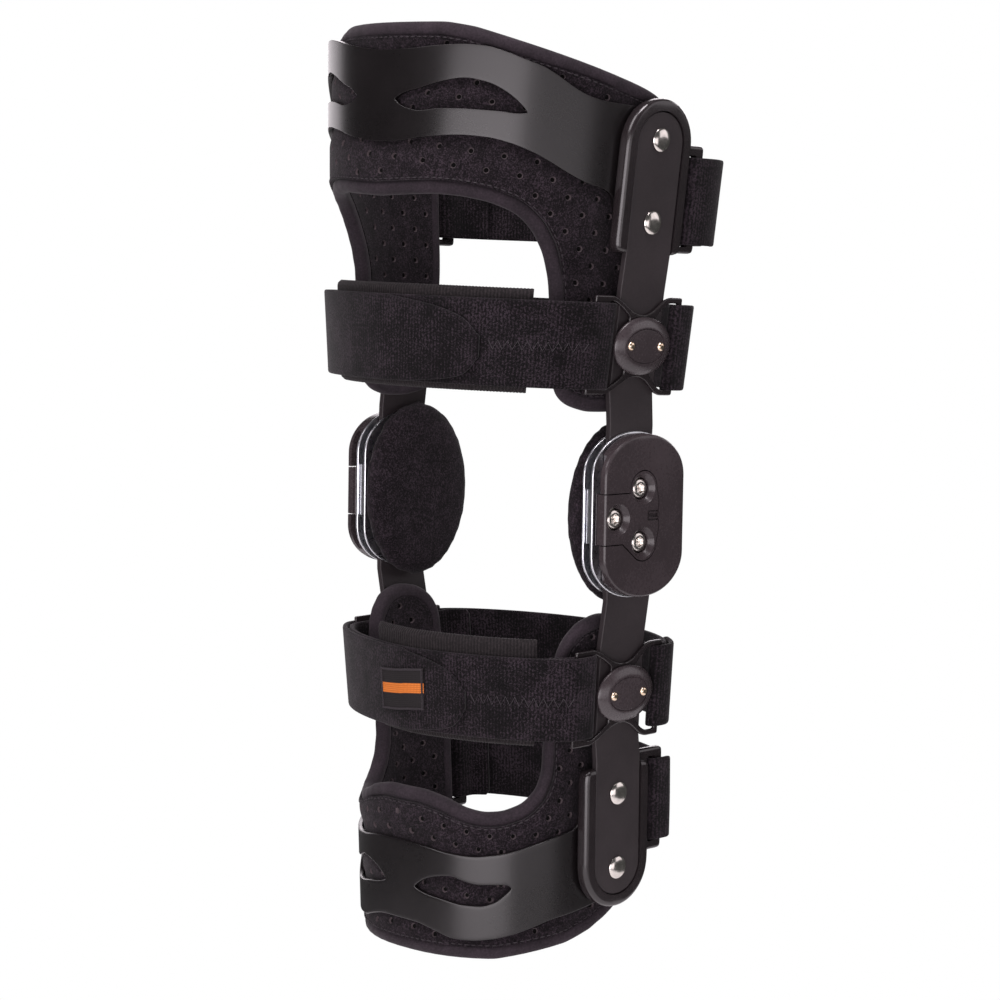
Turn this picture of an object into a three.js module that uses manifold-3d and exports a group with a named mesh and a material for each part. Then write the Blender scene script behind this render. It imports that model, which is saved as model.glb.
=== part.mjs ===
import * as THREE from 'three';
import { mergeVertices } from 'three/addons/utils/BufferGeometryUtils.js';
import Module from 'manifold-3d';

const wasm = await Module();
wasm.setup();

// Knee ligament brace, millimetres, +Z up, front of the knee towards -Y, outer side towards +X.
// Every size is for a straight leg about the knee centre, then each pivot is bent a little as worn.
const PIVOT_Z = 12;
const BEND_DEG = 2;
const GAP = 0.4;

// Leg sections: a half ellipse to the front of SECTION_Y and straight sides behind it.
const SECTION_Y = -8;
const LINER_THICK = 6.4;
const BINDING_THICK = 6.4;
const BINDING_WIDE = 6.5;
const SHELL_THICK = 2.2;
const SHELL_OUT = LINER_THICK + GAP + SHELL_THICK;

// Hollow for the leg by height: half width, depth of the front half ellipse, and how full its corners are.
const THIGH_HOLLOW = [
  { z: 40, half: 65.5, front: 57, full: 2.08 },
  { z: 76, half: 68, front: 63, full: 2.08 },
  { z: 101, half: 67.8, front: 69, full: 2.08 },
  { z: 130, half: 70.1, front: 73, full: 2.08 },
  { z: 150, half: 71.88, front: 74, full: 2.08 },
  { z: 218, half: 77.94, front: 74, full: 2.08 },
];
const CALF_HOLLOW = [
  { z: -206, half: 53.4, front: 53, full: 2.3 },
  { z: -128, half: 55.8, front: 53, full: 2.3 },
  { z: -107, half: 56.6, front: 53, full: 2.3 },
  { z: -83, half: 60.5, front: 52, full: 2.3 },
  { z: -47, half: 64.8, front: 48, full: 2.3 },
  { z: -40, half: 65.5, front: 47, full: 2.3 },
];

// Wall edges by turn from the front midline: degrees to 90, then millimetres straight back.
// The inner front of each shell sits higher by its lift, which fades out at SHELL_LIFT_TURN.
const SHELL_LIFT_TURN = 66;
const THIGH_SHELL = {
  lift: 3.8,
  top: [
    { turn: 0, z: 201 }, { turn: 12, z: 201.3 }, { turn: 22, z: 202.7 }, { turn: 31, z: 203.4 },
    { turn: 38, z: 202.8 }, { turn: 44, z: 200.7 }, { turn: 50, z: 197.8 }, { turn: 56, z: 195 },
    { turn: 61, z: 191.3 }, { turn: 66, z: 187 }, { turn: 71, z: 183.8 }, { turn: 78, z: 181.6 },
    { turn: 88, z: 180.7 }, { turn: 101, z: 179 },
  ],
  low: [
    { turn: 0, z: 161 }, { turn: 9, z: 161.2 }, { turn: 20, z: 163.1 }, { turn: 32, z: 164.2 },
    { turn: 40, z: 163.6 }, { turn: 47, z: 161.7 }, { turn: 54, z: 158.5 }, { turn: 60, z: 154.7 },
    { turn: 66, z: 150.3 }, { turn: 73, z: 146.1 }, { turn: 80, z: 143.4 }, { turn: 83, z: 140.6 },
    { turn: 86, z: 127 }, { turn: 90, z: 121.5 }, { turn: 101, z: 121 },
  ],
  vent: [
    { turn: 8.2, low: 178.7, high: 180 }, { turn: 12, low: 175.9, high: 182.4 },
    { turn: 17.3, low: 174.4, high: 184.3 }, { turn: 25, low: 175.5, high: 187.4 },
    { turn: 32, low: 175.6, high: 188.9 }, { turn: 39, low: 175.2, high: 187.4 },
    { turn: 44.5, low: 174.8, high: 184.1 }, { turn: 48.5, low: 174.2, high: 180.3 },
    { turn: 52.2, low: 174.3, high: 175.6 },
  ],
};
const CALF_SHELL = {
  lift: 1,
  top: [
    { turn: 0, z: -149.5 }, { turn: 12, z: -150.4 }, { turn: 24, z: -152.4 }, { turn: 35, z: -153.1 },
    { turn: 44, z: -152.3 }, { turn: 53, z: -150.8 }, { turn: 63, z: -148 }, { turn: 73, z: -145.3 },
    { turn: 81.5, z: -142.8 }, { turn: 83.5, z: -140.5 }, { turn: 86, z: -128 }, { turn: 90, z: -121.5 },
    { turn: 101, z: -121 },
  ],
  low: [
    { turn: 0, z: -186 }, { turn: 7, z: -186.3 }, { turn: 17, z: -188.8 }, { turn: 26, z: -191.5 },
    { turn: 34, z: -191.8 }, { turn: 44, z: -190.9 }, { turn: 53.5, z: -188.9 }, { turn: 62, z: -186.3 },
    { turn: 71, z: -183.4 }, { turn: 81, z: -181.6 }, { turn: 88, z: -180 }, { turn: 101, z: -176 },
  ],
  vent: [
    { turn: 7, low: -170.5, high: -169.2 }, { turn: 13, low: -172.4, high: -165.1 },
    { turn: 20, low: -173.7, high: -163.2 }, { turn: 25, low: -174.8, high: -162.8 },
    { turn: 30, low: -175.6, high: -164.4 }, { turn: 38, low: -175.8, high: -166 },
    { turn: 44.5, low: -174.2, high: -165.9 }, { turn: 49.5, low: -170.6, high: -165.9 },
    { turn: 52.4, low: -168, high: -166.8 },
  ],
};
const THIGH_LINER = {
  near: [
    { turn: 0, z: 136.9 }, { turn: 11, z: 137.5 }, { turn: 22, z: 138.5 }, { turn: 32, z: 137.8 },
    { turn: 42, z: 135.7 }, { turn: 51, z: 131.5 }, { turn: 57, z: 124.6 }, { turn: 61.5, z: 114.6 },
    { turn: 63.7, z: 103.5 }, { turn: 64.2, z: 90 }, { turn: 64.4, z: 58 }, { turn: 66.5, z: 51.2 },
    { turn: 71.4, z: 47.4 }, { turn: 80, z: 45 }, { turn: 92, z: 45 }, { turn: 103, z: 47.4 },
    { turn: 109.6, z: 52.5 }, { turn: 112, z: 60 },
  ],
  rear: [76, 101, 130],
  far: [
    { turn: 0, z: 214.2 }, { turn: 14, z: 214.3 }, { turn: 24, z: 213.5 }, { turn: 33, z: 211.7 },
    { turn: 42, z: 208.6 }, { turn: 52, z: 204.7 }, { turn: 63, z: 200 }, { turn: 74, z: 196 },
    { turn: 84, z: 192.9 }, { turn: 92, z: 190.6 }, { turn: 99, z: 188.4 }, { turn: 105, z: 186 },
    { turn: 109.6, z: 182.5 }, { turn: 112, z: 175 },
  ],
};
const CALF_LINER = {
  near: [
    { turn: 0, z: -124.9 }, { turn: 9, z: -125.3 }, { turn: 20, z: -127.7 }, { turn: 30, z: -131.7 },
    { turn: 39, z: -133.5 }, { turn: 48.5, z: -133 }, { turn: 58.4, z: -129.7 }, { turn: 65.2, z: -123.4 },
    { turn: 67.9, z: -115 }, { turn: 68.1, z: -98 }, { turn: 68.3, z: -70 }, { turn: 69, z: -62.3 },
    { turn: 71.8, z: -55.2 }, { turn: 79, z: -47.8 }, { turn: 89, z: -44.5 }, { turn: 100, z: -46.5 },
    { turn: 108, z: -52 }, { turn: 112, z: -60 },
  ],
  rear: [-83, -107, -128],
  far: [
    { turn: 0, z: -200.6 }, { turn: 16, z: -200 }, { turn: 30, z: -200.6 }, { turn: 44, z: -201.4 },
    { turn: 56, z: -200.5 }, { turn: 69, z: -198.6 }, { turn: 81, z: -196.3 }, { turn: 90, z: -193.2 },
    { turn: 98, z: -189.6 }, { turn: 105, z: -186 }, { turn: 110, z: -181 }, { turn: 112, z: -174 },
  ],
};

// Outer face of each side bar by height.
const BAR_WIDE = 28;
const BAR_THICK = 3;
const BAR_EYE = 11.6;
const BAR_NECK = { half: 13.4, past: 15 };
const THIGH_BAR_END = 164.8;
const CALF_BAR_END = -160.8;
const THIGH_BAR = [
  { z: 0, face: 79 }, { z: 40, face: 79 }, { z: 55, face: 77.6 }, { z: 99, face: 82.2 },
  { z: 116, face: 84.6 }, { z: 190, face: 91.35 },
];
const CALF_BAR = [
  { z: -190, face: 69.74 }, { z: -112, face: 72.15 }, { z: -102, face: 71.42 }, { z: -60, face: 74.85 },
  { z: -38.5, face: 79 }, { z: 0, face: 79 },
];
const THIGH_RIVETS = [130, 166.5];
const CALF_RIVETS = [-128, -162.5];
const RIVET = { head: 5.25, rise: 1.9, shank: 2.5, hole: 2.9, depth: 6.2 };

// Plastic bracket over each end of a bar, with a slotted loop behind it for a strap.
const BRACKET = {
  half: 20.2, floor: 3, rim: 0.5, loopThick: 4, loopBack: 30.8, slotFront: 20.6, slotBack: 26.2,
};
const THIGH_BRACKET = {
  end: THIGH_BAR_END, open: 116, loopLow: 116.5, loopHigh: 165.5, slotLow: 120, slotHigh: 161,
};
const CALF_BRACKET = {
  end: CALF_BAR_END, open: -115, loopLow: -158.5, loopHigh: -110.5, slotLow: -154.5, slotHigh: -114.5,
};

// Crossed clip and oval button on each bar, measured from the outer face of the bar.
// Each clip reaches further forward than back, and the front strap is folded round its broad front bar.
const THIGH_CLIP_Z = 75.2;
const CALF_CLIP_Z = -81.5;
const CLIP = { front: 30.2, back: 23.8, tall: 22, rim: 2, low: GAP, high: 2 };
const CLIP_BAR = { front: 8.8, back: 2.6 };
const CLIP_ARM = { front: 17.2, back: 15.2 };
const CLIP_HUB = { half: 6, tall: 14.8, core: 8, coreTall: 12.4 };
const BUTTON = { half: 17.3, tall: 12.9, low: 2.4 };
const BUTTON_RINGS = [
  { rise: 0, scale: 0.94 }, { rise: 0.5, scale: 1 }, { rise: 1.3, scale: 1 }, { rise: 2.8, scale: 0.86 },
  { rise: 3.7, scale: 0.7 }, { rise: 3.3, scale: 0.67 },
];

// Hinge head stack along X, measured about the knee centre.
const COVER = { y: 1, half: 25, tall: 36.5, straight: 17.2, low: 81.4, floor: 83.4, high: 88.4 };
const PLATE = { grow: 0.8, innerLow: 74.1, innerHigh: 75.6, outerLow: 79.4, outerHigh: 81 };
const STOP = { front: -23.6, back: -13.2, tall: 12, low: 76, high: 79 };
const SCREWS = [
  { name: 'upper', y: 0, z: PIVOT_Z },
  { name: 'front', y: -15.6, z: -1 },
  { name: 'lower', y: 0, z: -PIVOT_Z },
];
const SCREW = { radius: 4.5, hole: 4.9, high: 86.2 };
const INSERT = { front: -28, top: 10.2, low: -12, bend: -12.5, back: 9.3, lobe: 8 };
const PAD = { y: 3.5, half: 31, tall: 42 };
const PAD_RINGS = [
  { x: 73.7, scale: 0.96 }, { x: 72.2, scale: 1 }, { x: 67.4, scale: 0.985 }, { x: 64, scale: 0.88 },
  { x: 62.4, scale: 0.62 },
];

// Straps: plan half ellipses from side to side, folded round a loop at both ends.
const STRAP_THICK = 2.4;
const STRAP_STEP = STRAP_THICK + GAP;
const FRONT_FOLD = { y: 21.4, centre: 30, inner: -1.2, outer: 3.6 };
const BACK_FOLD = { y: 21.2, centre: 25.3, inner: -1.2, outer: 3.6 };
const SLOT_FOLD = { y: 26.3, centre: 31.2, inner: -8.2, outer: -0.6 };
const THIGH_FRONT = { side: -1, fold: FRONT_FOLD, low: 55.5, high: 94, depth: 48, power: 1.14, tab: 39.5 };
const THIGH_LOWER = { side: 1, fold: BACK_FOLD, low: 55.5, high: 94, depth: 31, power: 1.25, tab: 42 };
const THIGH_UPPER = { side: 1, fold: SLOT_FOLD, low: 121, high: 160, depth: 38, power: 1, tab: 48 };
const CALF_FRONT = {
  side: -1, fold: FRONT_FOLD, low: -99.6, high: -61.9, depth: 31, power: 1.25, tab: 30.5,
};
const CALF_UPPER = { side: 1, fold: BACK_FOLD, low: -99.6, high: -61.9, depth: 29, power: 1.25, tab: 42 };
const CALF_LOWER = { side: 1, fold: SLOT_FOLD, low: -153.5, high: -115.5, depth: 22, power: 1.25, tab: 78 };
// Rounded end of a strap tab: how far its two edges are cut in, by the share of the tab still to go.
const TAB_END = [
  { left: 0, top: 16.5, low: 12 }, { left: 0.02, top: 13, low: 7.5 }, { left: 0.047, top: 9, low: 4 },
  { left: 0.085, top: 6.2, low: 2.4 }, { left: 0.14, top: 3.6, low: 1.2 },
  { left: 0.22, top: 1.6, low: 0.2 }, { left: 0.31, top: 0, low: 0 },
  { left: 0.48, top: 0, low: 0 }, { left: 0.65, top: 0, low: 0 },
  { left: 0.82, top: 0, low: 0 }, { left: 1, top: 0, low: 0 },
];
const THIGH_PAD = { from: -56, to: 60, low: 53, high: 98.7, thick: 5 };
const CALF_PAD = { from: -30, to: 64, low: -102.5, high: -54.3, thick: 5 };
const PATCH = { from: -17.5, to: 13.6, low: -90.5, high: -71.3, rise: 2.8, thick: 0.8 };

const plastic = { color: 0x262628, roughness: 0.5, metalness: 0 };
const steelBlack = { color: 0x1e1c1b, roughness: 0.45, metalness: 0.2 };
const nickel = { color: 0xd9d4cb, roughness: 0.18, metalness: 1 };
const felt = { color: 0x141215, roughness: 0.95, metalness: 0 };
const knit = { color: 0x1d1d1f, roughness: 0.8, metalness: 0 };
const webbing = { color: 0x17161a, roughness: 0.9, metalness: 0 };
const woven = { color: 0x0d0d0f, roughness: 0.75, metalness: 0 };

function valueAt(rows, along, key, at) {
  const next = rows.findIndex((row) => row[along] >= at);
  if (next === 0) return rows[0][key];
  if (next < 0) return rows[rows.length - 1][key];
  const before = rows[next - 1];
  const share = (at - before[along]) / (rows[next][along] - before[along]);
  return THREE.MathUtils.lerp(before[key], rows[next][key], share);
}

function wallPoint(hollow, turn, z, out) {
  const half = valueAt(hollow, 'z', 'half', z) + out;
  const front = valueAt(hollow, 'z', 'front', z) + out;
  const side = Math.sign(turn);
  const size = Math.abs(turn);
  if (size > 90) return [side * half, SECTION_Y + size - 90, z];
  const angle = THREE.MathUtils.degToRad(size);
  const power = 2 / hollow[0].full;
  return [side * half * Math.sin(angle) ** power, SECTION_Y - front * Math.abs(Math.cos(angle)) ** power, z];
}

function outward(geometry) {
  const place = geometry.attributes.position;
  const index = Array.from(geometry.index.array);
  const corner = [new THREE.Vector3(), new THREE.Vector3(), new THREE.Vector3()];
  let volume = 0;
  for (let i = 0; i < index.length; i += 3) {
    corner.forEach((c, k) => c.fromBufferAttribute(place, index[i + k]));
    volume += corner[0].dot(corner[1].clone().cross(corner[2]));
  }
  if (volume < 0) {
    for (let i = 0; i < index.length; i += 3) {
      [index[i + 1], index[i + 2]] = [index[i + 2], index[i + 1]];
    }
    geometry.setIndex(index);
  }
  return geometry;
}

function solidOf(points, faces) {
  const geometry = new THREE.BufferGeometry();
  geometry.setAttribute('position', new THREE.Float32BufferAttribute(points.flat(), 3));
  geometry.setIndex(faces.flat());
  return outward(geometry);
}

function quad(a, b, c, d) {
  return [[a, b, c], [a, c, d]];
}

// A wall with an outer and an inner face, from columns of point pairs.
function sheetSolid(columns) {
  const rows = columns[0].length;
  const half = columns.length * rows;
  const points = [...columns.flat().map((p) => p.outer), ...columns.flat().map((p) => p.inner)];
  const faces = [];
  const at = (i, j, inner) => i * rows + j + (inner ? half : 0);
  const last = columns.length - 1;
  for (let i = 0; i < last; i += 1) {
    for (let j = 0; j < rows - 1; j += 1) {
      faces.push(...quad(at(i, j), at(i + 1, j), at(i + 1, j + 1), at(i, j + 1)));
      faces.push(...quad(at(i, j, true), at(i, j + 1, true), at(i + 1, j + 1, true), at(i + 1, j, true)));
    }
    faces.push(...quad(at(i, 0), at(i, 0, true), at(i + 1, 0, true), at(i + 1, 0)));
    const end = rows - 1;
    faces.push(...quad(at(i, end), at(i + 1, end), at(i + 1, end, true), at(i, end, true)));
  }
  for (let j = 0; j < rows - 1; j += 1) {
    faces.push(...quad(at(0, j), at(0, j + 1), at(0, j + 1, true), at(0, j, true)));
    faces.push(...quad(at(last, j), at(last, j, true), at(last, j + 1, true), at(last, j + 1)));
  }
  return solidOf(points, faces);
}

// A closed tube of quads between stations that each hold the same ring of points.
function ringSolid(stations) {
  const count = stations[0].length;
  const faces = [];
  stations.forEach((_, i) => {
    const next = (i + 1) % stations.length;
    for (let j = 0; j < count; j += 1) {
      const k = (j + 1) % count;
      faces.push(...quad(i * count + j, next * count + j, next * count + k, i * count + k));
    }
  });
  return solidOf(stations.flat(), faces);
}

// Stacked rings closed by a fan at each end.
function stackSolid(rings) {
  const count = rings[0].length;
  const faces = [];
  for (let i = 0; i < rings.length - 1; i += 1) {
    for (let j = 0; j < count; j += 1) {
      const k = (j + 1) % count;
      faces.push(...quad(i * count + j, i * count + k, (i + 1) * count + k, (i + 1) * count + j));
    }
  }
  const middle = (ring) => [0, 1, 2].map((axis) => ring.reduce((sum, p) => sum + p[axis], 0) / count);
  const points = [...rings.flat(), middle(rings[0]), middle(rings[rings.length - 1])];
  const top = (rings.length - 1) * count;
  for (let j = 0; j < count; j += 1) {
    const k = (j + 1) % count;
    faces.push([rings.length * count, k, j]);
    faces.push([rings.length * count + 1, top + j, top + k]);
  }
  return solidOf(points, faces);
}

function toManifold(geometry) {
  const plain = geometry.clone();
  plain.deleteAttribute('normal');
  plain.deleteAttribute('uv');
  const merged = mergeVertices(plain, 1e-4);
  return new wasm.Manifold(new wasm.Mesh({
    numProp: 3,
    vertProperties: new Float32Array(merged.attributes.position.array),
    triVerts: new Uint32Array(merged.index.array),
  }));
}

function fromManifold(manifold) {
  const mesh = manifold.getMesh();
  const geometry = new THREE.BufferGeometry();
  geometry.setAttribute('position', new THREE.BufferAttribute(new Float32Array(mesh.vertProperties), 3));
  geometry.setIndex(new THREE.BufferAttribute(new Uint32Array(mesh.triVerts), 1));
  return geometry;
}

function cut(body, ...tools) {
  return fromManifold(tools.reduce((left, tool) => left.subtract(toManifold(tool)), toManifold(body)));
}

function moved(geometry, rule) {
  const place = geometry.attributes.position;
  for (let i = 0; i < place.count; i += 1) {
    place.setXYZ(i, ...rule(place.getX(i), place.getY(i), place.getZ(i)));
  }
  return geometry;
}

// A flat outline drawn in Y and Z, thickened along X.
function plateX(shape, low, high, curve = 6) {
  const settings = { depth: high - low, bevelEnabled: false, curveSegments: curve };
  return moved(new THREE.ExtrudeGeometry(shape, settings), (u, v, w) => [low + w, u, v]);
}

// A flat outline drawn in X and Z, thickened along Y.
function plateY(shape, low, high) {
  const flat = new THREE.ExtrudeGeometry(shape, { depth: high - low, bevelEnabled: false });
  return moved(flat, (u, v, w) => [u, high - w, v]);
}

function leanOn(bar, geometry) {
  return moved(geometry, (x, y, z) => [x + valueAt(bar, 'z', 'face', z), y, z]);
}

function leanFlat(bar, z0, geometry) {
  const slope = (valueAt(bar, 'z', 'face', z0 + 8) - valueAt(bar, 'z', 'face', z0 - 8)) / 16;
  const face = valueAt(bar, 'z', 'face', z0);
  return moved(geometry, (x, y, z) => [x + face + slope * (z - z0), y, z]);
}

function otherSide(geometry) {
  const copy = geometry.clone();
  copy.scale(-1, 1, 1);
  if (!copy.index) return outward(mergeVertices(bare(copy), 1e-4));
  return outward(copy);
}

function bare(geometry) {
  geometry.deleteAttribute('normal');
  geometry.deleteAttribute('uv');
  return geometry;
}

function addPart(group, name, geometry, finish) {
  const whole = geometry.index ? geometry : mergeVertices(bare(geometry), 1e-4);
  whole.computeVertexNormals();
  const mesh = new THREE.Mesh(whole, new THREE.MeshStandardMaterial(finish));
  mesh.name = name;
  group.add(mesh);
}

function addPair(group, name, geometry, finish) {
  addPart(group, `${name}_outer`, geometry, finish);
  addPart(group, `${name}_inner`, otherSide(geometry), finish);
}

function bothSides(rows) {
  const left = rows.filter((row) => row.turn > 0).map((row) => ({ ...row, turn: -row.turn })).reverse();
  return [...left, ...rows];
}

function shellSolid(hollow, shell) {
  const turns = bothSides(shell.top).map((row) => row.turn);
  const pair = (turn, z) => ({
    outer: wallPoint(hollow, turn, z, SHELL_OUT),
    inner: wallPoint(hollow, turn, z, SHELL_OUT - SHELL_THICK),
  });
  const lift = (turn) => {
    const share = THREE.MathUtils.clamp(-turn / SHELL_LIFT_TURN, 0, 1);
    return shell.lift * Math.sin(Math.PI * share);
  };
  const columns = turns.map((turn) => {
    const low = valueAt(shell.low, 'turn', 'z', Math.abs(turn)) + lift(turn);
    const top = valueAt(shell.top, 'turn', 'z', Math.abs(turn)) + lift(turn);
    return [0, 0.5, 1].map((share) => pair(turn, THREE.MathUtils.lerp(low, top, share)));
  });
  const hole = (turn, z) => ({
    outer: wallPoint(hollow, turn, z + lift(turn), SHELL_OUT + 4),
    inner: wallPoint(hollow, turn, z + lift(turn), SHELL_OUT - SHELL_THICK - 3),
  });
  const vents = [1, -1].map((side) => sheetSolid(shell.vent.map((row) => (
    [row.low, row.high].map((z) => hole(side * row.turn, z))))));
  return cut(sheetSolid(columns), ...vents);
}

// Turn to millimetres along the wall and back, so that edges can be inset evenly.
const WALL_PER_DEGREE = 1.3;
const alongOf = (turn) => Math.sign(turn) * (Math.min(Math.abs(turn), 90) * WALL_PER_DEGREE
  + Math.max(Math.abs(turn) - 90, 0));
const turnOf = (along) => {
  const size = Math.abs(along);
  const front = 90 * WALL_PER_DEGREE;
  return Math.sign(along) * (size > front ? 90 + size - front : size / WALL_PER_DEGREE);
};

function insetEdge(rows, distance) {
  const flat = rows.map((row) => new THREE.Vector2(alongOf(row.turn), row.z));
  const whole = THREE.ShapeUtils.area(flat) > 0 ? 1 : -1;
  return flat.map((p, i) => {
    const before = flat[(i + flat.length - 1) % flat.length];
    const after = flat[(i + 1) % flat.length];
    const one = p.clone().sub(before).normalize();
    const two = after.clone().sub(p).normalize();
    const way = one.clone().add(two).normalize();
    const reach = distance / Math.max(0.7, way.dot(one));
    return { turn: turnOf(p.x - whole * way.y * reach), z: p.y + whole * way.x * reach };
  });
}

function linerEdges(liner) {
  const near = bothSides(liner.near);
  const far = bothSides(liner.far).reverse();
  const end = near[near.length - 1].turn;
  const right = liner.rear.map((z) => ({ turn: end, z }));
  const left = liner.rear.map((z) => ({ turn: -end, z })).reverse();
  return { near, right, far, outline: [...near, ...right, ...far, ...left] };
}

function linerSolid(hollow, liner) {
  const { near, right, far, outline } = linerEdges(liner);
  const inset = insetEdge(outline, BINDING_WIDE + GAP);
  const lower = inset.slice(0, near.length);
  const start = near.length + right.length;
  const upper = inset.slice(start, start + far.length).reverse();
  const columns = lower.map((row) => {
    const end = valueAt(upper, 'turn', 'z', row.turn);
    return [0, 0.25, 0.5, 0.75, 1].map((share) => {
      const z = THREE.MathUtils.lerp(row.z, end, share);
      const at = (out) => wallPoint(hollow, row.turn, z, out);
      return { outer: at(LINER_THICK), inner: at(0) };
    });
  });
  return sheetSolid(columns);
}

function bindingSolid(hollow, liner) {
  const { outline } = linerEdges(liner);
  const inset = insetEdge(outline, BINDING_WIDE);
  return ringSolid(outline.map((row, i) => [
    wallPoint(hollow, row.turn, row.z, BINDING_THICK - 1.2),
    wallPoint(hollow, inset[i].turn, inset[i].z, BINDING_THICK),
    wallPoint(hollow, inset[i].turn, inset[i].z, 0),
    wallPoint(hollow, row.turn, row.z, 1),
  ]));
}

// Round-ended bar outline: an eye at the pivot and a half round at the far end.
function barShape(pivotZ, endZ, rivets) {
  const away = Math.sign(endZ - pivotZ);
  const half = BAR_WIDE / 2;
  const neckZ = pivotZ + away * BAR_NECK.past;
  const arc = (z, radius, from) => Array.from({ length: 9 }, (_, i) => {
    const angle = from + (Math.PI * i) / 8;
    return new THREE.Vector2(radius * Math.cos(angle), z + away * radius * Math.sin(angle));
  });
  const shape = new THREE.Shape([
    ...arc(pivotZ, BAR_EYE, Math.PI), new THREE.Vector2(BAR_NECK.half, neckZ),
    ...arc(endZ, half, 0), new THREE.Vector2(-BAR_NECK.half, neckZ),
  ]);
  shape.holes = rivets.map((z) => new THREE.Path().absarc(0, z, RIVET.hole, 0, 2 * Math.PI));
  return shape;
}

function barSolid(bar, pivotZ, endZ, rivets) {
  const low = Math.min(pivotZ, endZ) - 14;
  const high = Math.max(pivotZ, endZ) + 14;
  const levels = [low, ...bar.map((row) => row.z).filter((z) => z > low && z < high), high];
  const face = levels.map((z) => new THREE.Vector2(valueAt(bar, 'z', 'face', z), z));
  const back = face.map((p) => new THREE.Vector2(p.x - BAR_THICK, p.y)).reverse();
  const slab = plateY(new THREE.Shape([...face, ...back]), -BAR_WIDE, BAR_WIDE);
  const outline = plateX(barShape(pivotZ, endZ, rivets), 60, 100, 4);
  return fromManifold(toManifold(slab).intersect(toManifold(outline)));
}

function box(y0, y1, z0, z1) {
  return new THREE.Shape([[y0, z0], [y1, z0], [y1, z1], [y0, z1]].map((p) => new THREE.Vector2(...p)));
}

function tongue(half, endZ, openZ) {
  const away = Math.sign(endZ - openZ);
  const points = [new THREE.Vector2(half, openZ)];
  for (let i = 0; i <= 10; i += 1) {
    const angle = (Math.PI * i) / 10;
    points.push(new THREE.Vector2(half * Math.cos(angle), endZ + away * half * Math.sin(angle)));
  }
  points.push(new THREE.Vector2(-half, openZ));
  return new THREE.Shape(points);
}

function bracketSolid(bar, bracket, rivets) {
  const low = -BAR_THICK - GAP - BRACKET.floor;
  const floor = -BAR_THICK - GAP;
  const away = Math.sign(bracket.end - bracket.open);
  const { half, rim, loopBack, loopThick, slotFront, slotBack } = BRACKET;
  const { end, open, loopLow, loopHigh, slotLow, slotHigh } = bracket;
  const body = plateX(tongue(half, end, open), low, rim);
  const channel = plateX(tongue(BAR_WIDE / 2 + GAP, end, open - 5 * away), floor, rim + 1);
  const loop = plateX(box(8, loopBack, loopLow, loopHigh), low, low + loopThick);
  const slot = plateX(box(slotFront, slotBack, slotLow, slotHigh), low - 1, 2);
  const holes = rivets.map((z) => {
    const ring = new THREE.Shape().absarc(0, z, RIVET.hole, 0, 2 * Math.PI);
    return plateX(ring, low - 1, 2, 5);
  });
  const whole = toManifold(body).add(toManifold(loop));
  const tools = [channel, slot, ...holes].map(toManifold);
  return leanOn(bar, fromManifold(tools.reduce((left, tool) => left.subtract(tool), whole)));
}

function rivetSolid(bar, z) {
  const profile = [
    [RIVET.rise, 2.2], [RIVET.rise - 0.7, 4.2], [0.3, RIVET.head], [0.3, RIVET.shank],
    [-RIVET.depth, RIVET.shank],
  ];
  return leanOn(bar, stackSolid(profile.map(([x, radius]) => ringX(x, radius, radius, 9, 0, z))));
}

function ringX(x, half, tall, count, y = 0, z = 0) {
  return Array.from({ length: count }, (_, i) => {
    const angle = (2 * Math.PI * i) / count;
    return [x, y + half * Math.cos(angle), z + tall * Math.sin(angle)];
  });
}

function clipSolid(bar, z0) {
  const { front, back, tall, rim } = CLIP;
  const hub = CLIP_HUB;
  const point = (y, z) => new THREE.Vector2(y, z0 + z);
  const shape = new THREE.Shape([
    point(-front, -tall), point(-CLIP_ARM.front, -tall), point(-hub.half, -hub.tall),
    point(hub.half, -hub.tall), point(CLIP_ARM.back, -tall), point(back, -tall),
    point(back, tall), point(CLIP_ARM.back, tall), point(hub.half, hub.tall),
    point(-hub.half, hub.tall), point(-CLIP_ARM.front, tall), point(-front, tall),
  ]);
  const inside = tall - rim;
  const windowAt = (side, bound, arm) => new THREE.Path([
    point(side * bound, -inside), point(side * bound, inside), point(side * arm, inside),
    point(side * hub.core, hub.coreTall), point(side * hub.core, -hub.coreTall), point(side * arm, -inside),
  ]);
  shape.holes = [
    windowAt(-1, front - CLIP_BAR.front, CLIP_ARM.front),
    windowAt(1, back - CLIP_BAR.back, CLIP_ARM.back),
  ];
  return leanFlat(bar, z0, plateX(shape, CLIP.low, CLIP.high));
}

function buttonSolid(bar, z0) {
  const rings = BUTTON_RINGS.map((row) => (
    ringX(BUTTON.low + row.rise, BUTTON.half * row.scale, BUTTON.tall * row.scale, 16, 0, z0)));
  return leanFlat(bar, z0, stackSolid(rings));
}

function coverShape(grow) {
  const points = [];
  [[1, 0], [-1, Math.PI]].forEach(([side, from]) => {
    for (let i = 0; i <= 10; i += 1) {
      const angle = from + (Math.PI * i) / 10;
      const y = COVER.y + (COVER.half + grow) * Math.cos(angle);
      const z = side * COVER.straight + (COVER.tall - COVER.straight + grow) * Math.sin(angle);
      points.push(new THREE.Vector2(y, z));
    }
  });
  return new THREE.Shape(points);
}

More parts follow.
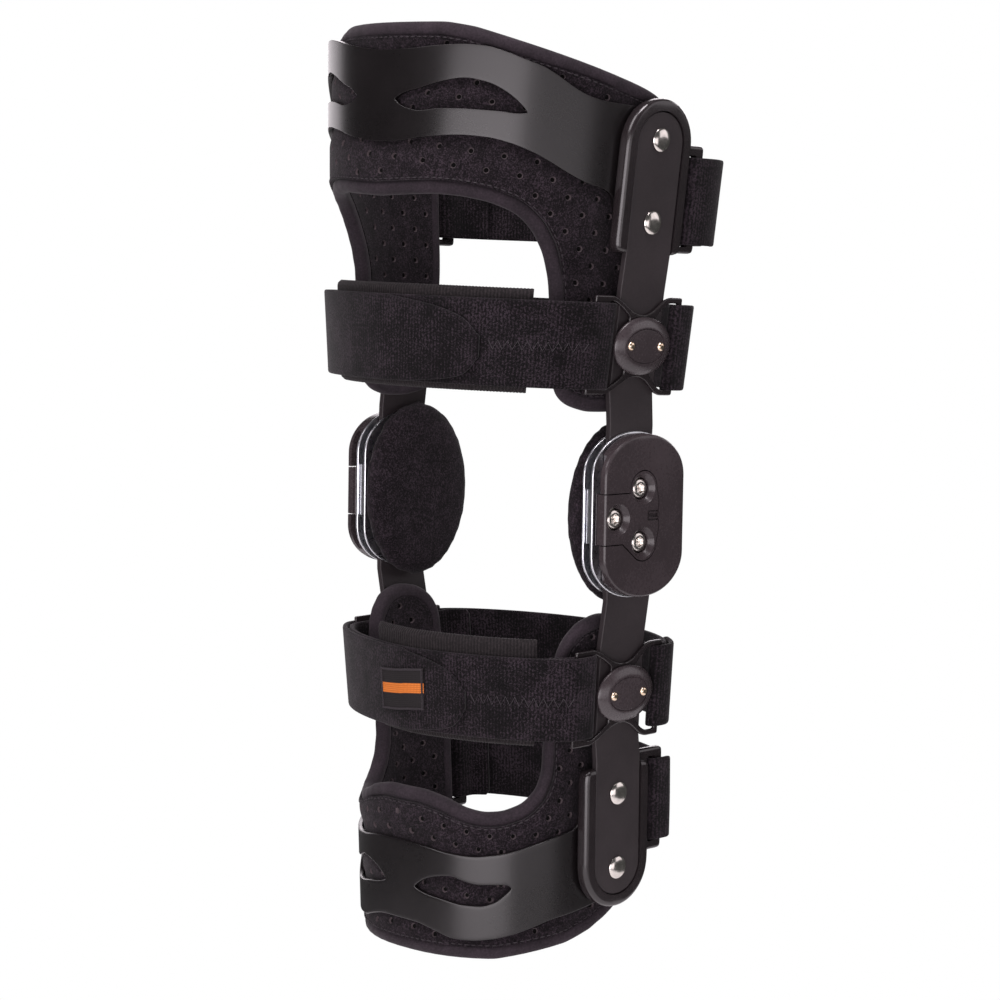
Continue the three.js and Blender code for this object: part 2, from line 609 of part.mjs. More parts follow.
// Inset of the hinge cover: open to the front edge, with a lobe round each pivot screw.
function insertShape(grow) {
  const { front, top, low, bend, back } = INSERT;
  const lobe = INSERT.lobe + grow;
  const points = [[front, low - grow], [bend - grow, low - grow]];
  for (let i = 0; i <= 5; i += 1) {
    const angle = Math.PI * (1.25 + 0.15 * i);
    points.push([lobe * Math.cos(angle), -PIVOT_Z + lobe * Math.sin(angle)]);
  }
  points.push([back + grow, -7], [back + grow, 7]);
  for (let i = 0; i <= 5; i += 1) {
    const angle = Math.PI * 0.2 * i;
    points.push([lobe * Math.cos(angle), PIVOT_Z + lobe * Math.sin(angle)]);
  }
  points.push([-lobe, top + grow], [front, top + grow]);
  return new THREE.Shape(points.map((p) => new THREE.Vector2(...p)));
}

function screwHoles(low, high) {
  return SCREWS.map((row) => (
    plateX(new THREE.Shape().absarc(row.y, row.z, SCREW.hole, 0, 2 * Math.PI), low, high, 6)));
}

function hingeParts() {
  const outline = plateX(coverShape(0), COVER.low, COVER.high);
  const cover = cut(outline, plateX(insertShape(GAP), COVER.floor - GAP, COVER.high + 1));
  const block = toManifold(plateX(insertShape(0), COVER.floor, COVER.high));
  const holes = screwHoles(COVER.floor - 1, COVER.high + 1).map(toManifold);
  const blank = block.intersect(toManifold(outline));
  const insert = fromManifold(holes.reduce((left, hole) => left.subtract(hole), blank));
  const plate = (low, high) => plateX(coverShape(PLATE.grow), low, high);
  const stop = box(STOP.front, STOP.back, -STOP.tall, STOP.tall);
  const screwRing = (row, x) => ringX(x, SCREW.radius, SCREW.radius, 12, row.y, row.z);
  const padRings = PAD_RINGS.map(({ x, scale }) => (
    ringX(x, PAD.half * scale, PAD.tall * scale, 24, PAD.y)));
  return [
    { name: 'hinge_cover', solid: cover, finish: plastic },
    { name: 'hinge_insert', solid: insert, finish: plastic },
    { name: 'hinge_outer_plate', solid: plate(PLATE.outerLow, PLATE.outerHigh), finish: nickel },
    { name: 'hinge_back_plate', solid: plate(PLATE.innerLow, PLATE.innerHigh), finish: nickel },
    { name: 'hinge_stop', solid: plateX(stop, STOP.low, STOP.high), finish: nickel },
    { name: 'condyle_pad', solid: stackSolid(padRings), finish: felt },
    ...SCREWS.map((row) => ({
      name: `hinge_screw_${row.name}`,
      solid: stackSolid([COVER.floor + 0.1, SCREW.high].map((x) => screwRing(row, x))),
      finish: nickel,
    })),
  ];
}

// Strap stations in plan with their low and high edges: return, fold, band, fold, tab.
function strapStations(bar, strap) {
  const { side, fold, low, high, depth, power, tab } = strap;
  const face = valueAt(bar, 'z', 'face', (low + high) / 2);
  const inner = face + fold.inner;
  const outer = face + fold.outer;
  const stations = [];
  const station = (turn, half, deep) => {
    const angle = THREE.MathUtils.degToRad(turn);
    const x = half * Math.sign(angle) * Math.abs(Math.sin(angle)) ** power;
    return { x, y: side * (fold.centre + deep * Math.abs(Math.cos(angle)) ** power), low, high };
  };
  const arc = (from, to, halfFrom, halfTo, deep, count) => {
    for (let i = 0; i <= count; i += 1) {
      const half = THREE.MathUtils.lerp(halfFrom, halfTo, i / count);
      stations.push(station(THREE.MathUtils.lerp(from, to, i / count), half, deep));
    }
  };
  const turnBack = (sign) => {
    const middle = (inner + outer) / 2;
    const radius = (outer - inner) / 2;
    for (let i = 1; i < 6; i += 1) {
      const angle = (Math.PI * i) / 6;
      const x = sign * (middle - radius * Math.cos(angle));
      stations.push({ x, y: side * (fold.y - radius * Math.sin(angle)), low, high });
    }
  };
  const first = side < 0 ? 1 : -1;
  arc(first * 66, first * 90, inner, inner, depth - STRAP_STEP, 3);
  turnBack(first);
  arc(first * 90, -first * 90, outer, inner, depth, 20);
  turnBack(-first);
  TAB_END.toReversed().forEach((row) => {
    const place = station(THREE.MathUtils.lerp(tab, -first * 90, row.left), outer, depth + STRAP_STEP);
    stations.push({ ...place, low: low + row.low, high: high - row.top });
  });
  return stations;
}

function strapSolid(bar, strap) {
  const stations = strapStations(bar, strap);
  const middle = (strap.low + strap.high) / 2;
  const face = valueAt(bar, 'z', 'face', middle);
  const lean = (valueAt(bar, 'z', 'face', middle + 8) - valueAt(bar, 'z', 'face', middle - 8)) / 16 / face;
  const edge = (sign) => stations.map((row, i) => {
    const before = stations[Math.max(0, i - 1)];
    const after = stations[Math.min(stations.length - 1, i + 1)];
    const way = new THREE.Vector2(after.x - before.x, after.y - before.y).normalize();
    const reach = (sign * STRAP_THICK) / 2;
    return { x: row.x - way.y * reach, y: row.y + way.x * reach, low: row.low, high: row.high };
  });
  const outline = [...edge(1), ...edge(-1).reverse()];
  if (THREE.ShapeUtils.isClockWise(outline)) outline.reverse();
  const place = (row, z) => {
    const past = Math.max(0, Math.abs(row.y) - strap.fold.centre);
    const grow = lean * (z - middle);
    return [row.x * (1 + grow), row.y + Math.sign(row.y) * past * grow, z];
  };
  const count = outline.length;
  const lower = outline.map((row) => place(row, row.low));
  const upper = outline.map((row) => place(row, row.high));
  const faces = THREE.ShapeUtils.triangulateShape(outline.map((row) => new THREE.Vector2(row.x, row.y)), []);
  const caps = [...faces, ...faces.map(([a, b, c]) => [a + count, c + count, b + count])];
  const sides = outline.flatMap((_, i) => {
    const next = (i + 1) % count;
    return quad(i, i + count, next + count, next);
  });
  return solidOf([...lower, ...upper], [...caps, ...sides]);
}

// A sheet lying on the half ellipse of a front strap, between two distances from its centre line.
function onStrap(bar, strap, sheet, count, near, far) {
  const middle = (strap.low + strap.high) / 2;
  const face = valueAt(bar, 'z', 'face', middle);
  const lean = (valueAt(bar, 'z', 'face', middle + 8) - valueAt(bar, 'z', 'face', middle - 8)) / 16 / face;
  const point = (turn, z, out) => {
    const angle = THREE.MathUtils.degToRad(turn);
    const grow = 1 + lean * (z - middle);
    const half = face + strap.fold.inner + out;
    const x = half * Math.sign(angle) * Math.abs(Math.sin(angle)) ** strap.power;
    return [grow * x, -strap.fold.centre - grow * (strap.depth + out) * Math.cos(angle) ** strap.power, z];
  };
  const columns = Array.from({ length: count + 1 }, (_, i) => {
    const turn = THREE.MathUtils.lerp(sheet.from, sheet.to, i / count);
    const rise = (sheet.rise ?? 0) * (i / count - 0.5);
    const pair = (z) => ({ outer: point(turn, z, far), inner: point(turn, z, near) });
    return [pair(sheet.low + rise), pair(sheet.high + rise)];
  });
  return sheetSolid(columns);
}

function limbParts(group, prefix, limb) {
  const { hollow, shell, liner, bar, pivotZ, barEnd, rivets, bracket, clipZ, front, backs, pad } = limb;
  addPart(group, `${prefix}_shell`, shellSolid(hollow, shell), plastic);
  addPart(group, `${prefix}_liner`, linerSolid(hollow, liner), felt);
  addPart(group, `${prefix}_binding`, bindingSolid(hollow, liner), knit);
  addPair(group, `${prefix}_bar`, barSolid(bar, pivotZ, barEnd, rivets), steelBlack);
  addPair(group, `${prefix}_bracket`, bracketSolid(bar, bracket, rivets), plastic);
  rivets.forEach((z, i) => addPair(group, `${prefix}_rivet_${i + 1}`, rivetSolid(bar, z), nickel));
  addPair(group, `${prefix}_clip`, clipSolid(bar, clipZ), plastic);
  addPair(group, `${prefix}_button`, buttonSolid(bar, clipZ), plastic);
  addPart(group, `${prefix}_front_strap`, strapSolid(bar, front), webbing);
  addPart(group, `${prefix}_upper_back_strap`, strapSolid(bar, backs.upper), webbing);
  addPart(group, `${prefix}_lower_back_strap`, strapSolid(bar, backs.lower), webbing);
  const far = -STRAP_THICK / 2 - GAP;
  addPart(group, `${prefix}_front_pad`, onStrap(bar, front, pad, 14, far - pad.thick, far), webbing);
}

function bentAt(pivotZ) {
  const pivot = new THREE.Group();
  pivot.position.z = pivotZ;
  pivot.rotation.x = THREE.MathUtils.degToRad(BEND_DEG);
  const content = new THREE.Group();
  content.position.z = -pivotZ;
  pivot.add(content);
  return { pivot, content };
}

const brace = new THREE.Group();
const heads = bentAt(PIVOT_Z);
const calf = bentAt(-PIVOT_Z);
brace.add(heads.pivot);
heads.content.add(calf.pivot);

limbParts(brace, 'thigh', {
  hollow: THIGH_HOLLOW, shell: THIGH_SHELL, liner: THIGH_LINER, bar: THIGH_BAR, pivotZ: PIVOT_Z,
  barEnd: THIGH_BAR_END, rivets: THIGH_RIVETS, bracket: THIGH_BRACKET, clipZ: THIGH_CLIP_Z,
  front: THIGH_FRONT, backs: { upper: THIGH_UPPER, lower: THIGH_LOWER }, pad: THIGH_PAD,
});
limbParts(calf.content, 'calf', {
  hollow: CALF_HOLLOW, shell: CALF_SHELL, liner: CALF_LINER, bar: CALF_BAR, pivotZ: -PIVOT_Z,
  barEnd: CALF_BAR_END, rivets: CALF_RIVETS, bracket: CALF_BRACKET, clipZ: CALF_CLIP_Z,
  front: CALF_FRONT, backs: { upper: CALF_UPPER, lower: CALF_LOWER }, pad: CALF_PAD,
});
const patchNear = STRAP_STEP * 2 - STRAP_THICK / 2;
const patch = onStrap(CALF_BAR, CALF_FRONT, PATCH, 4, patchNear, patchNear + PATCH.thick);
addPart(calf.content, 'calf_strap_patch', patch, woven);
hingeParts().forEach((row) => addPair(heads.content, row.name, row.solid, row.finish));

export default brace;
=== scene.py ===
import math
import bpy
import bmesh
import numpy as np
from mathutils import Matrix, Vector, geometry


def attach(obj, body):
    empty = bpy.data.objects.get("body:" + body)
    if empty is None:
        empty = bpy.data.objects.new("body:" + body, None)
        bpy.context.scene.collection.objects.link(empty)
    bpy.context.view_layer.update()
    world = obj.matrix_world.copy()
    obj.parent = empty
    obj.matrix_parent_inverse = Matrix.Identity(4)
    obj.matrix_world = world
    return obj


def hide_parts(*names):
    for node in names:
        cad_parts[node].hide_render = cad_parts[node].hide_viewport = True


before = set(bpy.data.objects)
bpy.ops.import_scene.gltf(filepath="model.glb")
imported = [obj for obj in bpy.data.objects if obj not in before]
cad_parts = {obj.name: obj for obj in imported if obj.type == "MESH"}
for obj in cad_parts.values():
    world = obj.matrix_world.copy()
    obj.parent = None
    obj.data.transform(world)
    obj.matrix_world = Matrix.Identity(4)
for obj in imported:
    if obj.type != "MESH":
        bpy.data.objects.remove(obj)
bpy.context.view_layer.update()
mm = 0.001
print("frame loaded:", len(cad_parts), "solids")


# shader and geometry trees, written as expressions

class Wire:
    def __init__(self, graph, socket):
        self.graph = graph
        self.socket = socket

    def maths(self, operation, first, second):
        return self.graph.node("ShaderNodeMath", {"operation": operation}, {0: first, 1: second})

    def __add__(self, other):
        return self.maths("ADD", self, other)

    def __sub__(self, other):
        return self.maths("SUBTRACT", self, other)

    def __rsub__(self, other):
        return self.maths("SUBTRACT", other, self)

    def __mul__(self, other):
        return self.maths("MULTIPLY", self, other)

    def __truediv__(self, other):
        return self.maths("DIVIDE", self, other)

    __radd__ = __add__
    __rmul__ = __mul__

    def other(self, name):
        return Wire(self.graph, self.socket.node.outputs[name])


class Graph:
    def __init__(self, tree):
        self.tree = tree

    def node(self, kind, settings=None, sockets=None, out=0):
        made = self.tree.nodes.new(kind)
        for key, value in (settings or {}).items():
            if key == "stops":
                while len(made.color_ramp.elements) < len(value):
                    made.color_ramp.elements.new(1.0)
                for stop, (place, colour) in zip(made.color_ramp.elements, value):
                    stop.position = place
                    stop.color = (*colour, 1)
            else:
                setattr(made, key, value)
        for key, value in (sockets or {}).items():
            if isinstance(value, Wire):
                self.tree.links.new(value.socket, made.inputs[key])
            else:
                made.inputs[key].default_value = value
        return Wire(self, made.outputs[out])


def paint(name, build, **fixed):
    material = bpy.data.materials.new(name)
    material.use_nodes = True
    shader = material.node_tree.nodes["Principled BSDF"]
    for label, value in fixed.items():
        shader.inputs[label.replace("_", " ")].default_value = value
    for label, wire in build(Graph(material.node_tree)).items():
        material.node_tree.links.new(wire.socket, shader.inputs[label])
    return material


def spots(graph, size, detail=3.0, rough=0.6, where="Object", stretch=(1, 1, 1)):
    spot = graph.node("ShaderNodeTexCoord").other(where)
    if stretch != (1, 1, 1):
        spot = graph.node("ShaderNodeMapping", {}, {"Vector": spot, "Scale": stretch})
    return graph.node("ShaderNodeTexNoise", {}, {
        "Vector": spot, "Scale": 1 / (size * mm), "Detail": detail, "Roughness": rough})


def ramp(graph, value, stops):
    return graph.node("ShaderNodeValToRGB", {"stops": stops}, {"Fac": value})


def blend(graph, share, first, second):
    return graph.node("ShaderNodeMix", {"data_type": "RGBA"}, {"Factor": share, "A": first, "B": second}, 2)


def bump(graph, height, depth, strength=1.0):
    return graph.node("ShaderNodeBump", {}, {"Height": height, "Distance": depth * mm, "Strength": strength})


def grey(level, red=1.14, green=0.9, blue=0.98):
    return (level * red, level * green, level * blue)


def plum(level):
    return grey(level, 1.14, 0.83, 1.08)


def mouldedLook(dark, gloss):
    def build(graph):
        grain = spots(graph, 1.1, 2)
        cloud = spots(graph, 45, 3)
        return {
            "Base Color": ramp(graph, grain * 0.35 + cloud * 0.65, [
                (0.3, grey(dark * 0.7)), (0.5, grey(dark)), (0.7, grey(dark * 1.4))]),
            "Roughness": grain * 0.06 + cloud * 0.08 + gloss,
            "Normal": bump(graph, grain, 0.015, 0.25),
        }
    return build


def polishedLook(warm):
    def build(graph):
        cloud = spots(graph, 2.5, 3)
        return {
            "Base Color": ramp(graph, cloud, [
                (0.3, (0.66 + warm, 0.64, 0.62 - warm)), (0.7, (0.82 + warm, 0.8, 0.77 - warm))]),
            "Roughness": cloud * 0.12 + 0.14,
        }
    return build


def brushedLook(graph):
    lines = spots(graph, 0.4, 2, stretch=(6, 0.2, 0.2))
    return {
        "Base Color": ramp(graph, lines, [(0.35, (0.58, 0.6, 0.64)), (0.65, (0.8, 0.81, 0.83))]),
        "Roughness": lines * 0.2 + 0.2,
        "Normal": bump(graph, lines, 0.02, 0.5),
    }


def feltLook(graph):
    fuzz = spots(graph, 0.62, 3, 0.75)
    fibre = spots(graph, 1.1, 2, 0.6)
    clump = spots(graph, 6, 2)
    pit = graph.node("ShaderNodeAttribute", {"attribute_name": "pit"}).other("Fac")
    colour = ramp(graph, fuzz * 0.6 + fibre * 0.25 + clump * 0.15, [
        (0.41, plum(0.0016)), (0.5, plum(0.0065)), (0.59, plum(0.028))])
    # hole walls take a lighter grey; each hole's bottom is painted near black, a painted shade for the depth of the
    # hole
    wall = ramp(graph, pit, [(0.0, (0, 0, 0)), (0.08, (1, 1, 1))])
    throat = ramp(graph, pit, [(0.8, (0, 0, 0)), (0.96, (1, 1, 1))])
    foam = blend(graph, wall, colour, (*grey(0.05), 1))
    paintedHoleShade = blend(graph, throat, foam, (*grey(0.001), 1))
    return {"Base Color": paintedHoleShade, "Normal": bump(graph, fuzz, 0.2, 0.5)}


def knitLook(graph):
    fuzz = spots(graph, 0.9, 2, 0.6)
    cloud = spots(graph, 12, 2)
    return {
        "Base Color": ramp(graph, fuzz * 0.6 + cloud * 0.4, [
            (0.36, plum(0.011)), (0.5, plum(0.0175)), (0.66, plum(0.027))]),
        "Normal": bump(graph, fuzz, 0.12, 0.5),
    }


def loopLook(graph):
    flat = graph.node("ShaderNodeTexCoord").other("UV")
    pile = spots(graph, 0.66, 3, 0.78)
    tuft = spots(graph, 0.75, 2, 0.6, "UV", (0.7, 1, 1))
    rows = graph.node("ShaderNodeTexWave", {"bands_direction": "X"}, {
        "Vector": flat, "Scale": 190.0, "Distortion": 2.0, "Detail": 1.0}).other("Fac")
    cloud = spots(graph, 14, 2)
    tone = pile * 0.45 + tuft * 0.3 + rows * 0.05 + cloud * 0.2
    return {
        "Base Color": ramp(graph, tone, [(0.43, plum(0.0008)), (0.5, plum(0.0034)), (0.57, plum(0.025))]),
        "Normal": bump(graph, pile, 0.25, 0.5),
    }


def elasticLook(graph):
    fuzz = spots(graph, 0.9, 3, 0.7)
    rib = graph.node("ShaderNodeAttribute", {"attribute_name": "rib"}).other("Fac")
    # rib paints the grooves between ribs darker and their crests lighter: painted shade and light
    return {
        "Base Color": ramp(graph, fuzz * 0.8 + rib * 0.2, [
            (0.36, grey(0.004)), (0.5, grey(0.009)), (0.66, grey(0.02))]),
        "Normal": bump(graph, fuzz, 0.12, 0.5),
    }


def wovenLook(graph):
    flat = graph.node("ShaderNodeTexCoord").other("UV")
    warp, weft = (graph.node("ShaderNodeTexWave", {"bands_direction": way}, {
        "Vector": flat, "Scale": 350.0}).other("Fac") for way in "XY")
    height = graph.node("ShaderNodeSeparateXYZ", {}, {"Vector": flat}, 1)
    offMiddle = graph.node("ShaderNodeMath", {"operation": "ABSOLUTE"}, {0: height - 0.5 * mm})
    band = graph.node("ShaderNodeMath", {"operation": "LESS_THAN"}, {0: offMiddle, 1: 2.3 * mm})  # half its height
    weave = warp * weft
    ground = ramp(graph, weave, [(0.0, grey(0.006)), (1.0, grey(0.014))])
    stripe = ramp(graph, weave, [(0.0, (0.42, 0.11, 0.016)), (1.0, (0.78, 0.23, 0.035))])
    return {
        "Base Color": blend(graph, band, ground, stripe),
        "Normal": bump(graph, weave, 0.1, 0.6),
    }


def threadLook(level):
    def build(graph):
        twist = spots(graph, 0.6, 2)
        return {"Base Color": ramp(graph, twist, [(0.35, plum(level * 0.6)), (0.65, plum(level))])}
    return build


def floorLook(graph):
    cloud = spots(graph, 400, 2)
    return {"Base Color": ramp(graph, cloud, [(0.3, (0.84, 0.84, 0.84)), (0.7, (0.87, 0.87, 0.87))])}


look = {
    "moulded": paint("charcoal moulded plastic", mouldedLook(0.005, 0.22), IOR=1.53),
    "matt": paint("matt moulded plastic", mouldedLook(0.032, 0.2), IOR=1.46),
    "slick": paint("slick moulded plastic", mouldedLook(0.014, 0.16), IOR=1.6),
    "glossy": paint("smooth moulded plastic", mouldedLook(0.036, 0.2), IOR=1.6),
    "coated": paint("black powder coat", mouldedLook(0.0205, 0.46), IOR=1.46),
    "nickel": paint("polished nickel", polishedLook(0.02), Metallic=1.0),
    "brass": paint("brass pin", polishedLook(0.16), Metallic=1.0),
    "bright": paint("bright steel plate", brushedLook, Metallic=1.0),
    "felt": paint("black loop felt", feltLook, Roughness=0.95, Sheen_Weight=0.05, Specular_IOR_Level=0.15),
    "knit": paint("binding knit", knitLook, Roughness=0.85, Sheen_Weight=0.06, Specular_IOR_Level=0.2),
    "loop": paint("strap loop pile", loopLook, Roughness=0.92, Sheen_Weight=0.06, Specular_IOR_Level=0.15),
    "elastic": paint("ribbed elastic", elasticLook, Roughness=0.85, Sheen_Weight=0.05, Specular_IOR_Level=0.2),
    "woven": paint("woven patch", wovenLook, Roughness=0.7, Specular_IOR_Level=0.3),
    "thread": paint("dark thread", threadLook(0.018), Roughness=0.75),
    "paleThread": paint("grey thread", threadLook(0.017), Roughness=0.7),
    "floor": paint("pale floor", floorLook, Roughness=0.9),
}
print("materials ready:", len(look))


def growTree(name, inputs, build):
    tree = bpy.data.node_groups.new(name, "GeometryNodeTree")
    tree.interface.new_socket("Geometry", in_out="INPUT", socket_type="NodeSocketGeometry")
    tree.interface.new_socket("Geometry", in_out="OUTPUT", socket_type="NodeSocketGeometry")
    for label, kind in {**inputs, "Material": "Material"}.items():
        tree.interface.new_socket(label, in_out="INPUT", socket_type="NodeSocket" + kind)
    graph = Graph(tree)
    entry = tree.nodes.new("NodeGroupInput")
    take = {socket.name: Wire(graph, socket) for socket in entry.outputs if socket.name}
    real = graph.node("GeometryNodeRealizeInstances", {}, {"Geometry": build(graph, take)})
    painted = graph.node("GeometryNodeSetMaterial", {}, {"Geometry": real, "Material": take["Material"]})
    leave = tree.nodes.new("NodeGroupOutput")
    tree.links.new(painted.socket, leave.inputs["Geometry"])
    return tree


def grow(piece, tree, **values):
    modifier = modify(piece, "NODES", node_group=tree)
    for item in tree.interface.items_tree:
        if item.in_out == "INPUT" and item.name in values:
            modifier[item.identifier] = values[item.name]
    return settle(piece)


def modify(piece, kind, **settings):
    modifier = piece.modifiers.new(kind.lower(), kind)
    for label, value in settings.items():
        setattr(modifier, label, value)
    return modifier


def settle(piece):
    depsgraph = bpy.context.evaluated_depsgraph_get()
    shaped = piece.evaluated_get(depsgraph)
    mesh = bpy.data.meshes.new_from_object(shaped, preserve_all_data_layers=True, depsgraph=depsgraph)
    piece.modifiers.clear()
    piece.data = mesh
    return piece


holeRim = 0.87  # share of a hole's radius where its wall starts


def perforateTree(graph, take):
    holes = graph.node("GeometryNodeObjectInfo", {}, {"Object": take["Holes"]}).other("Geometry")
    near = graph.node("GeometryNodeProximity", {"target_element": "POINTS"}, {0: holes}).other("Distance")
    pit = graph.node("ShaderNodeMapRange", {"interpolation_type": "LINEAR"}, {
        "Value": near / take["Radius"], "From Min": take["Throat"], "From Max": holeRim,
        "To Min": 1.0, "To Max": 0.0})
    facing = graph.node("GeometryNodeInputNormal")
    sink = graph.node("ShaderNodeVectorMath", {"operation": "SCALE"}, {
        0: facing, "Scale": pit * take["Depth"] * -1.0})
    # pit also marks where the felt paints shade at the bottom of each hole
    marked = graph.node("GeometryNodeStoreNamedAttribute", {"data_type": "FLOAT", "domain": "POINT"}, {
        "Geometry": take["Geometry"], "Name": "pit", "Value": pit})
    return graph.node("GeometryNodeSetPosition", {}, {"Geometry": marked, "Offset": sink})


def ribTree(graph, take):
    run = graph.node("GeometryNodeInputNamedAttribute", {"data_type": "FLOAT"}, {"Name": "run"})
    phase = run * (2 * math.pi) / take["Pitch"]
    wave = graph.node("ShaderNodeMath", {"operation": "SINE"}, {0: phase}) * 0.5 + 0.5
    facing = graph.node("GeometryNodeInputNormal")
    lift = graph.node("ShaderNodeVectorMath", {"operation": "SCALE"}, {0: facing, "Scale": wave * take["Height"]})
    moved = graph.node("GeometryNodeSetPosition", {}, {"Geometry": take["Geometry"], "Offset": lift})
    # the wave is also kept as rib, which the elastic uses to paint shade into the grooves and light onto the crests
    return graph.node("GeometryNodeStoreNamedAttribute", {"data_type": "FLOAT", "domain": "POINT"}, {
        "Geometry": moved, "Name": "rib", "Value": wave})


def stitchTree(graph, take):
    line = graph.node("GeometryNodeMeshToCurve", {}, {"Mesh": take["Geometry"]})
    spaced = graph.node("GeometryNodeResampleCurve", {"mode": "LENGTH"}, {"Curve": line, "Length": take["Spacing"]})
    way = graph.node("GeometryNodeInputTangent")
    turned = graph.node("FunctionNodeAlignRotationToVector", {"axis": "Z"}, {"Vector": way})
    bead = graph.node("GeometryNodeMeshUVSphere", {}, {"Segments": 6, "Rings": 4, "Radius": 1.0})
    size = graph.node("ShaderNodeCombineXYZ", {}, {0: take["Thick"], 1: take["Thick"], 2: take["Long"]})
    return graph.node("GeometryNodeInstanceOnPoints", {}, {
        "Points": spaced, "Instance": bead, "Rotation": turned, "Scale": size})


def cordTree(graph, take):
    line = graph.node("GeometryNodeMeshToCurve", {}, {"Mesh": take["Geometry"]})
    ring = graph.node("GeometryNodeCurvePrimitiveCircle", {}, {"Resolution": 6, "Radius": take["Thick"]})
    return graph.node("GeometryNodeCurveToMesh", {}, {"Curve": line, "Profile Curve": ring, "Fill Caps": True})


def headTree(graph, take):
    facing = graph.node("GeometryNodeInputNamedAttribute", {"data_type": "FLOAT_VECTOR"}, {"Name": "facing"})
    turned = graph.node("FunctionNodeAlignRotationToVector", {"axis": "Z"}, {"Vector": facing})
    head = graph.node("GeometryNodeObjectInfo", {}, {"Object": take["Head"]}).other("Geometry")
    return graph.node("GeometryNodeInstanceOnPoints", {}, {
        "Points": take["Geometry"], "Instance": head, "Rotation": turned})


trees = {
    "perforate": growTree("perforate", {
        "Holes": "Object", "Radius": "Float", "Throat": "Float", "Depth": "Float"}, perforateTree),
    "rib": growTree("rib", {"Pitch": "Float", "Height": "Float"}, ribTree),
    "stitch": growTree("stitch", {"Spacing": "Float", "Long": "Float", "Thick": "Float"}, stitchTree),
    "cord": growTree("cord", {"Thick": "Float"}, cordTree),
    "heads": growTree("heads", {"Head": "Object"}, headTree),
}
stitchSizes = {  # spacing, half length and half thickness
    "binding": (3.2, 1.15, 0.3), "hem": (3.0, 1.1, 0.28), "border": (0.8, 0.45, 0.6),
}


def stitchOf(kind):
    return {label: size * mm for label, size in zip(("Spacing", "Long", "Thick"), stitchSizes[kind])}


# mesh helpers, in millimetres about the middle of the hinges of a straight brace

pivotZ = 12.0
pivotBend = 2.0  # degrees at each pivot in the rest pose
sectionY = -8.0


def tilt(z):
    turned = Matrix.Rotation(math.radians(pivotBend), 4, "X")
    return Matrix.Translation((0, 0, z * mm)) @ turned @ Matrix.Translation((0, 0, -z * mm))


place = {"thigh": Matrix(), "heads": tilt(pivotZ), "calf": tilt(pivotZ) @ tilt(-pivotZ)}


def eased(rows, at, column=1):
    table = np.array(rows, float)
    x, y = table[:, 0], table[:, column]
    gap = np.diff(x)
    slope = np.diff(y) / gap
    before, after = slope[:-1], slope[1:]
    one, two = 2 * gap[1:] + gap[:-1], gap[1:] + 2 * gap[:-1]
    same = before * after > 0
    middle = np.zeros_like(before)
    middle[same] = (one + two)[same] / (one[same] / before[same] + two[same] / after[same])
    tangent = np.concatenate([[0 if x[0] == 0 else slope[0]], middle, [slope[-1]]])
    at = np.clip(at, x[0], x[-1])
    k = np.clip(np.searchsorted(x, at, side="right") - 1, 0, len(gap) - 1)
    t = (at - x[k]) / gap[k]
    return (y[k] * (1 + 2 * t) * (1 - t) ** 2 + tangent[k] * gap[k] * t * (1 - t) ** 2
            + y[k + 1] * t * t * (3 - 2 * t) + tangent[k + 1] * gap[k] * t * t * (t - 1))


def level(rows, at):
    table = np.array(rows, float)
    return np.interp(at, table[:, 0], table[:, 1])


def smoothStep(low, high, at):
    t = np.clip((np.asarray(at, float) - low) / (high - low), 0, 1)
    return t * t * (3 - 2 * t)


def runAlong(points, closed=False):
    points = np.vstack([points, points[:1]]) if closed else points
    return np.concatenate([[0], np.cumsum(np.linalg.norm(np.diff(points, axis=0), axis=1))])


def evenly(points, step):
    points = np.asarray(points, float)
    run = runAlong(points)
    at = np.linspace(0, run[-1], max(2, int(round(run[-1] / step))) + 1)
    return np.stack([np.interp(at, run, points[:, k]) for k in range(points.shape[1])], 1), at


def addObject(name, mesh):
    piece = bpy.data.objects.new(name, mesh)
    bpy.context.scene.collection.objects.link(piece)
    return piece


def shadeSmooth(mesh, sharp):
    mesh.polygons.foreach_set("use_smooth", [True] * len(mesh.polygons))
    mesh.set_sharp_from_angle(angle=math.radians(sharp))


def makePiece(name, points, faces, material, where="thigh", flat=None, sharp=45, tidy=True):
    mesh = bpy.data.meshes.new(name)
    mesh.from_pydata((np.asarray(points, float) * mm).tolist(), [], faces)
    if flat is not None:
        layer = mesh.uv_layers.new(name="UVMap")
        layer.data.foreach_set("uv", (np.asarray(flat, float) * mm).ravel())
    shaped = bmesh.new()
    shaped.from_mesh(mesh)
    if tidy:
        bmesh.ops.remove_doubles(shaped, verts=shaped.verts, dist=2e-6)
    bmesh.ops.recalc_face_normals(shaped, faces=shaped.faces)
    shaped.to_mesh(mesh)
    shaped.free()
    mesh.transform(place[where])
    shadeSmooth(mesh, sharp)
    if material:
        mesh.materials.append(look[material])
    return addObject(name, mesh)


def gridFaces(count, rows, closeRun=False, closeRows=False):
    i = np.arange(count if closeRun else count - 1)
    j = np.arange(rows if closeRows else rows - 1)
    i, j = (a.ravel() for a in np.meshgrid(i, j, indexing="ij"))
    corners = [(i, j), (i + 1, j), (i + 1, j + 1), (i, j + 1)]
    faces = np.stack([(a % count) * rows + b % rows for a, b in corners], 1)
    return faces.tolist(), corners


def flatOf(corners, runLine, rowLine):
    return np.stack([np.stack([runLine[a], rowLine[b]], 1) for a, b in corners], 1).reshape(-1, 2)


def lineMesh(name, points, where, closed=False):
    mesh = bpy.data.meshes.new(name)
    count = len(points)
    edges = [(k, (k + 1) % count) for k in range(count if closed else count - 1)]
    mesh.from_pydata((np.asarray(points, float) * mm).tolist(), edges, [])
    mesh.transform(place[where])
    return addObject(name, mesh)


def dress(piece, body, slot, nodes=()):
    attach(piece, body)
    if nodes:
        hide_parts(*nodes)
    return piece


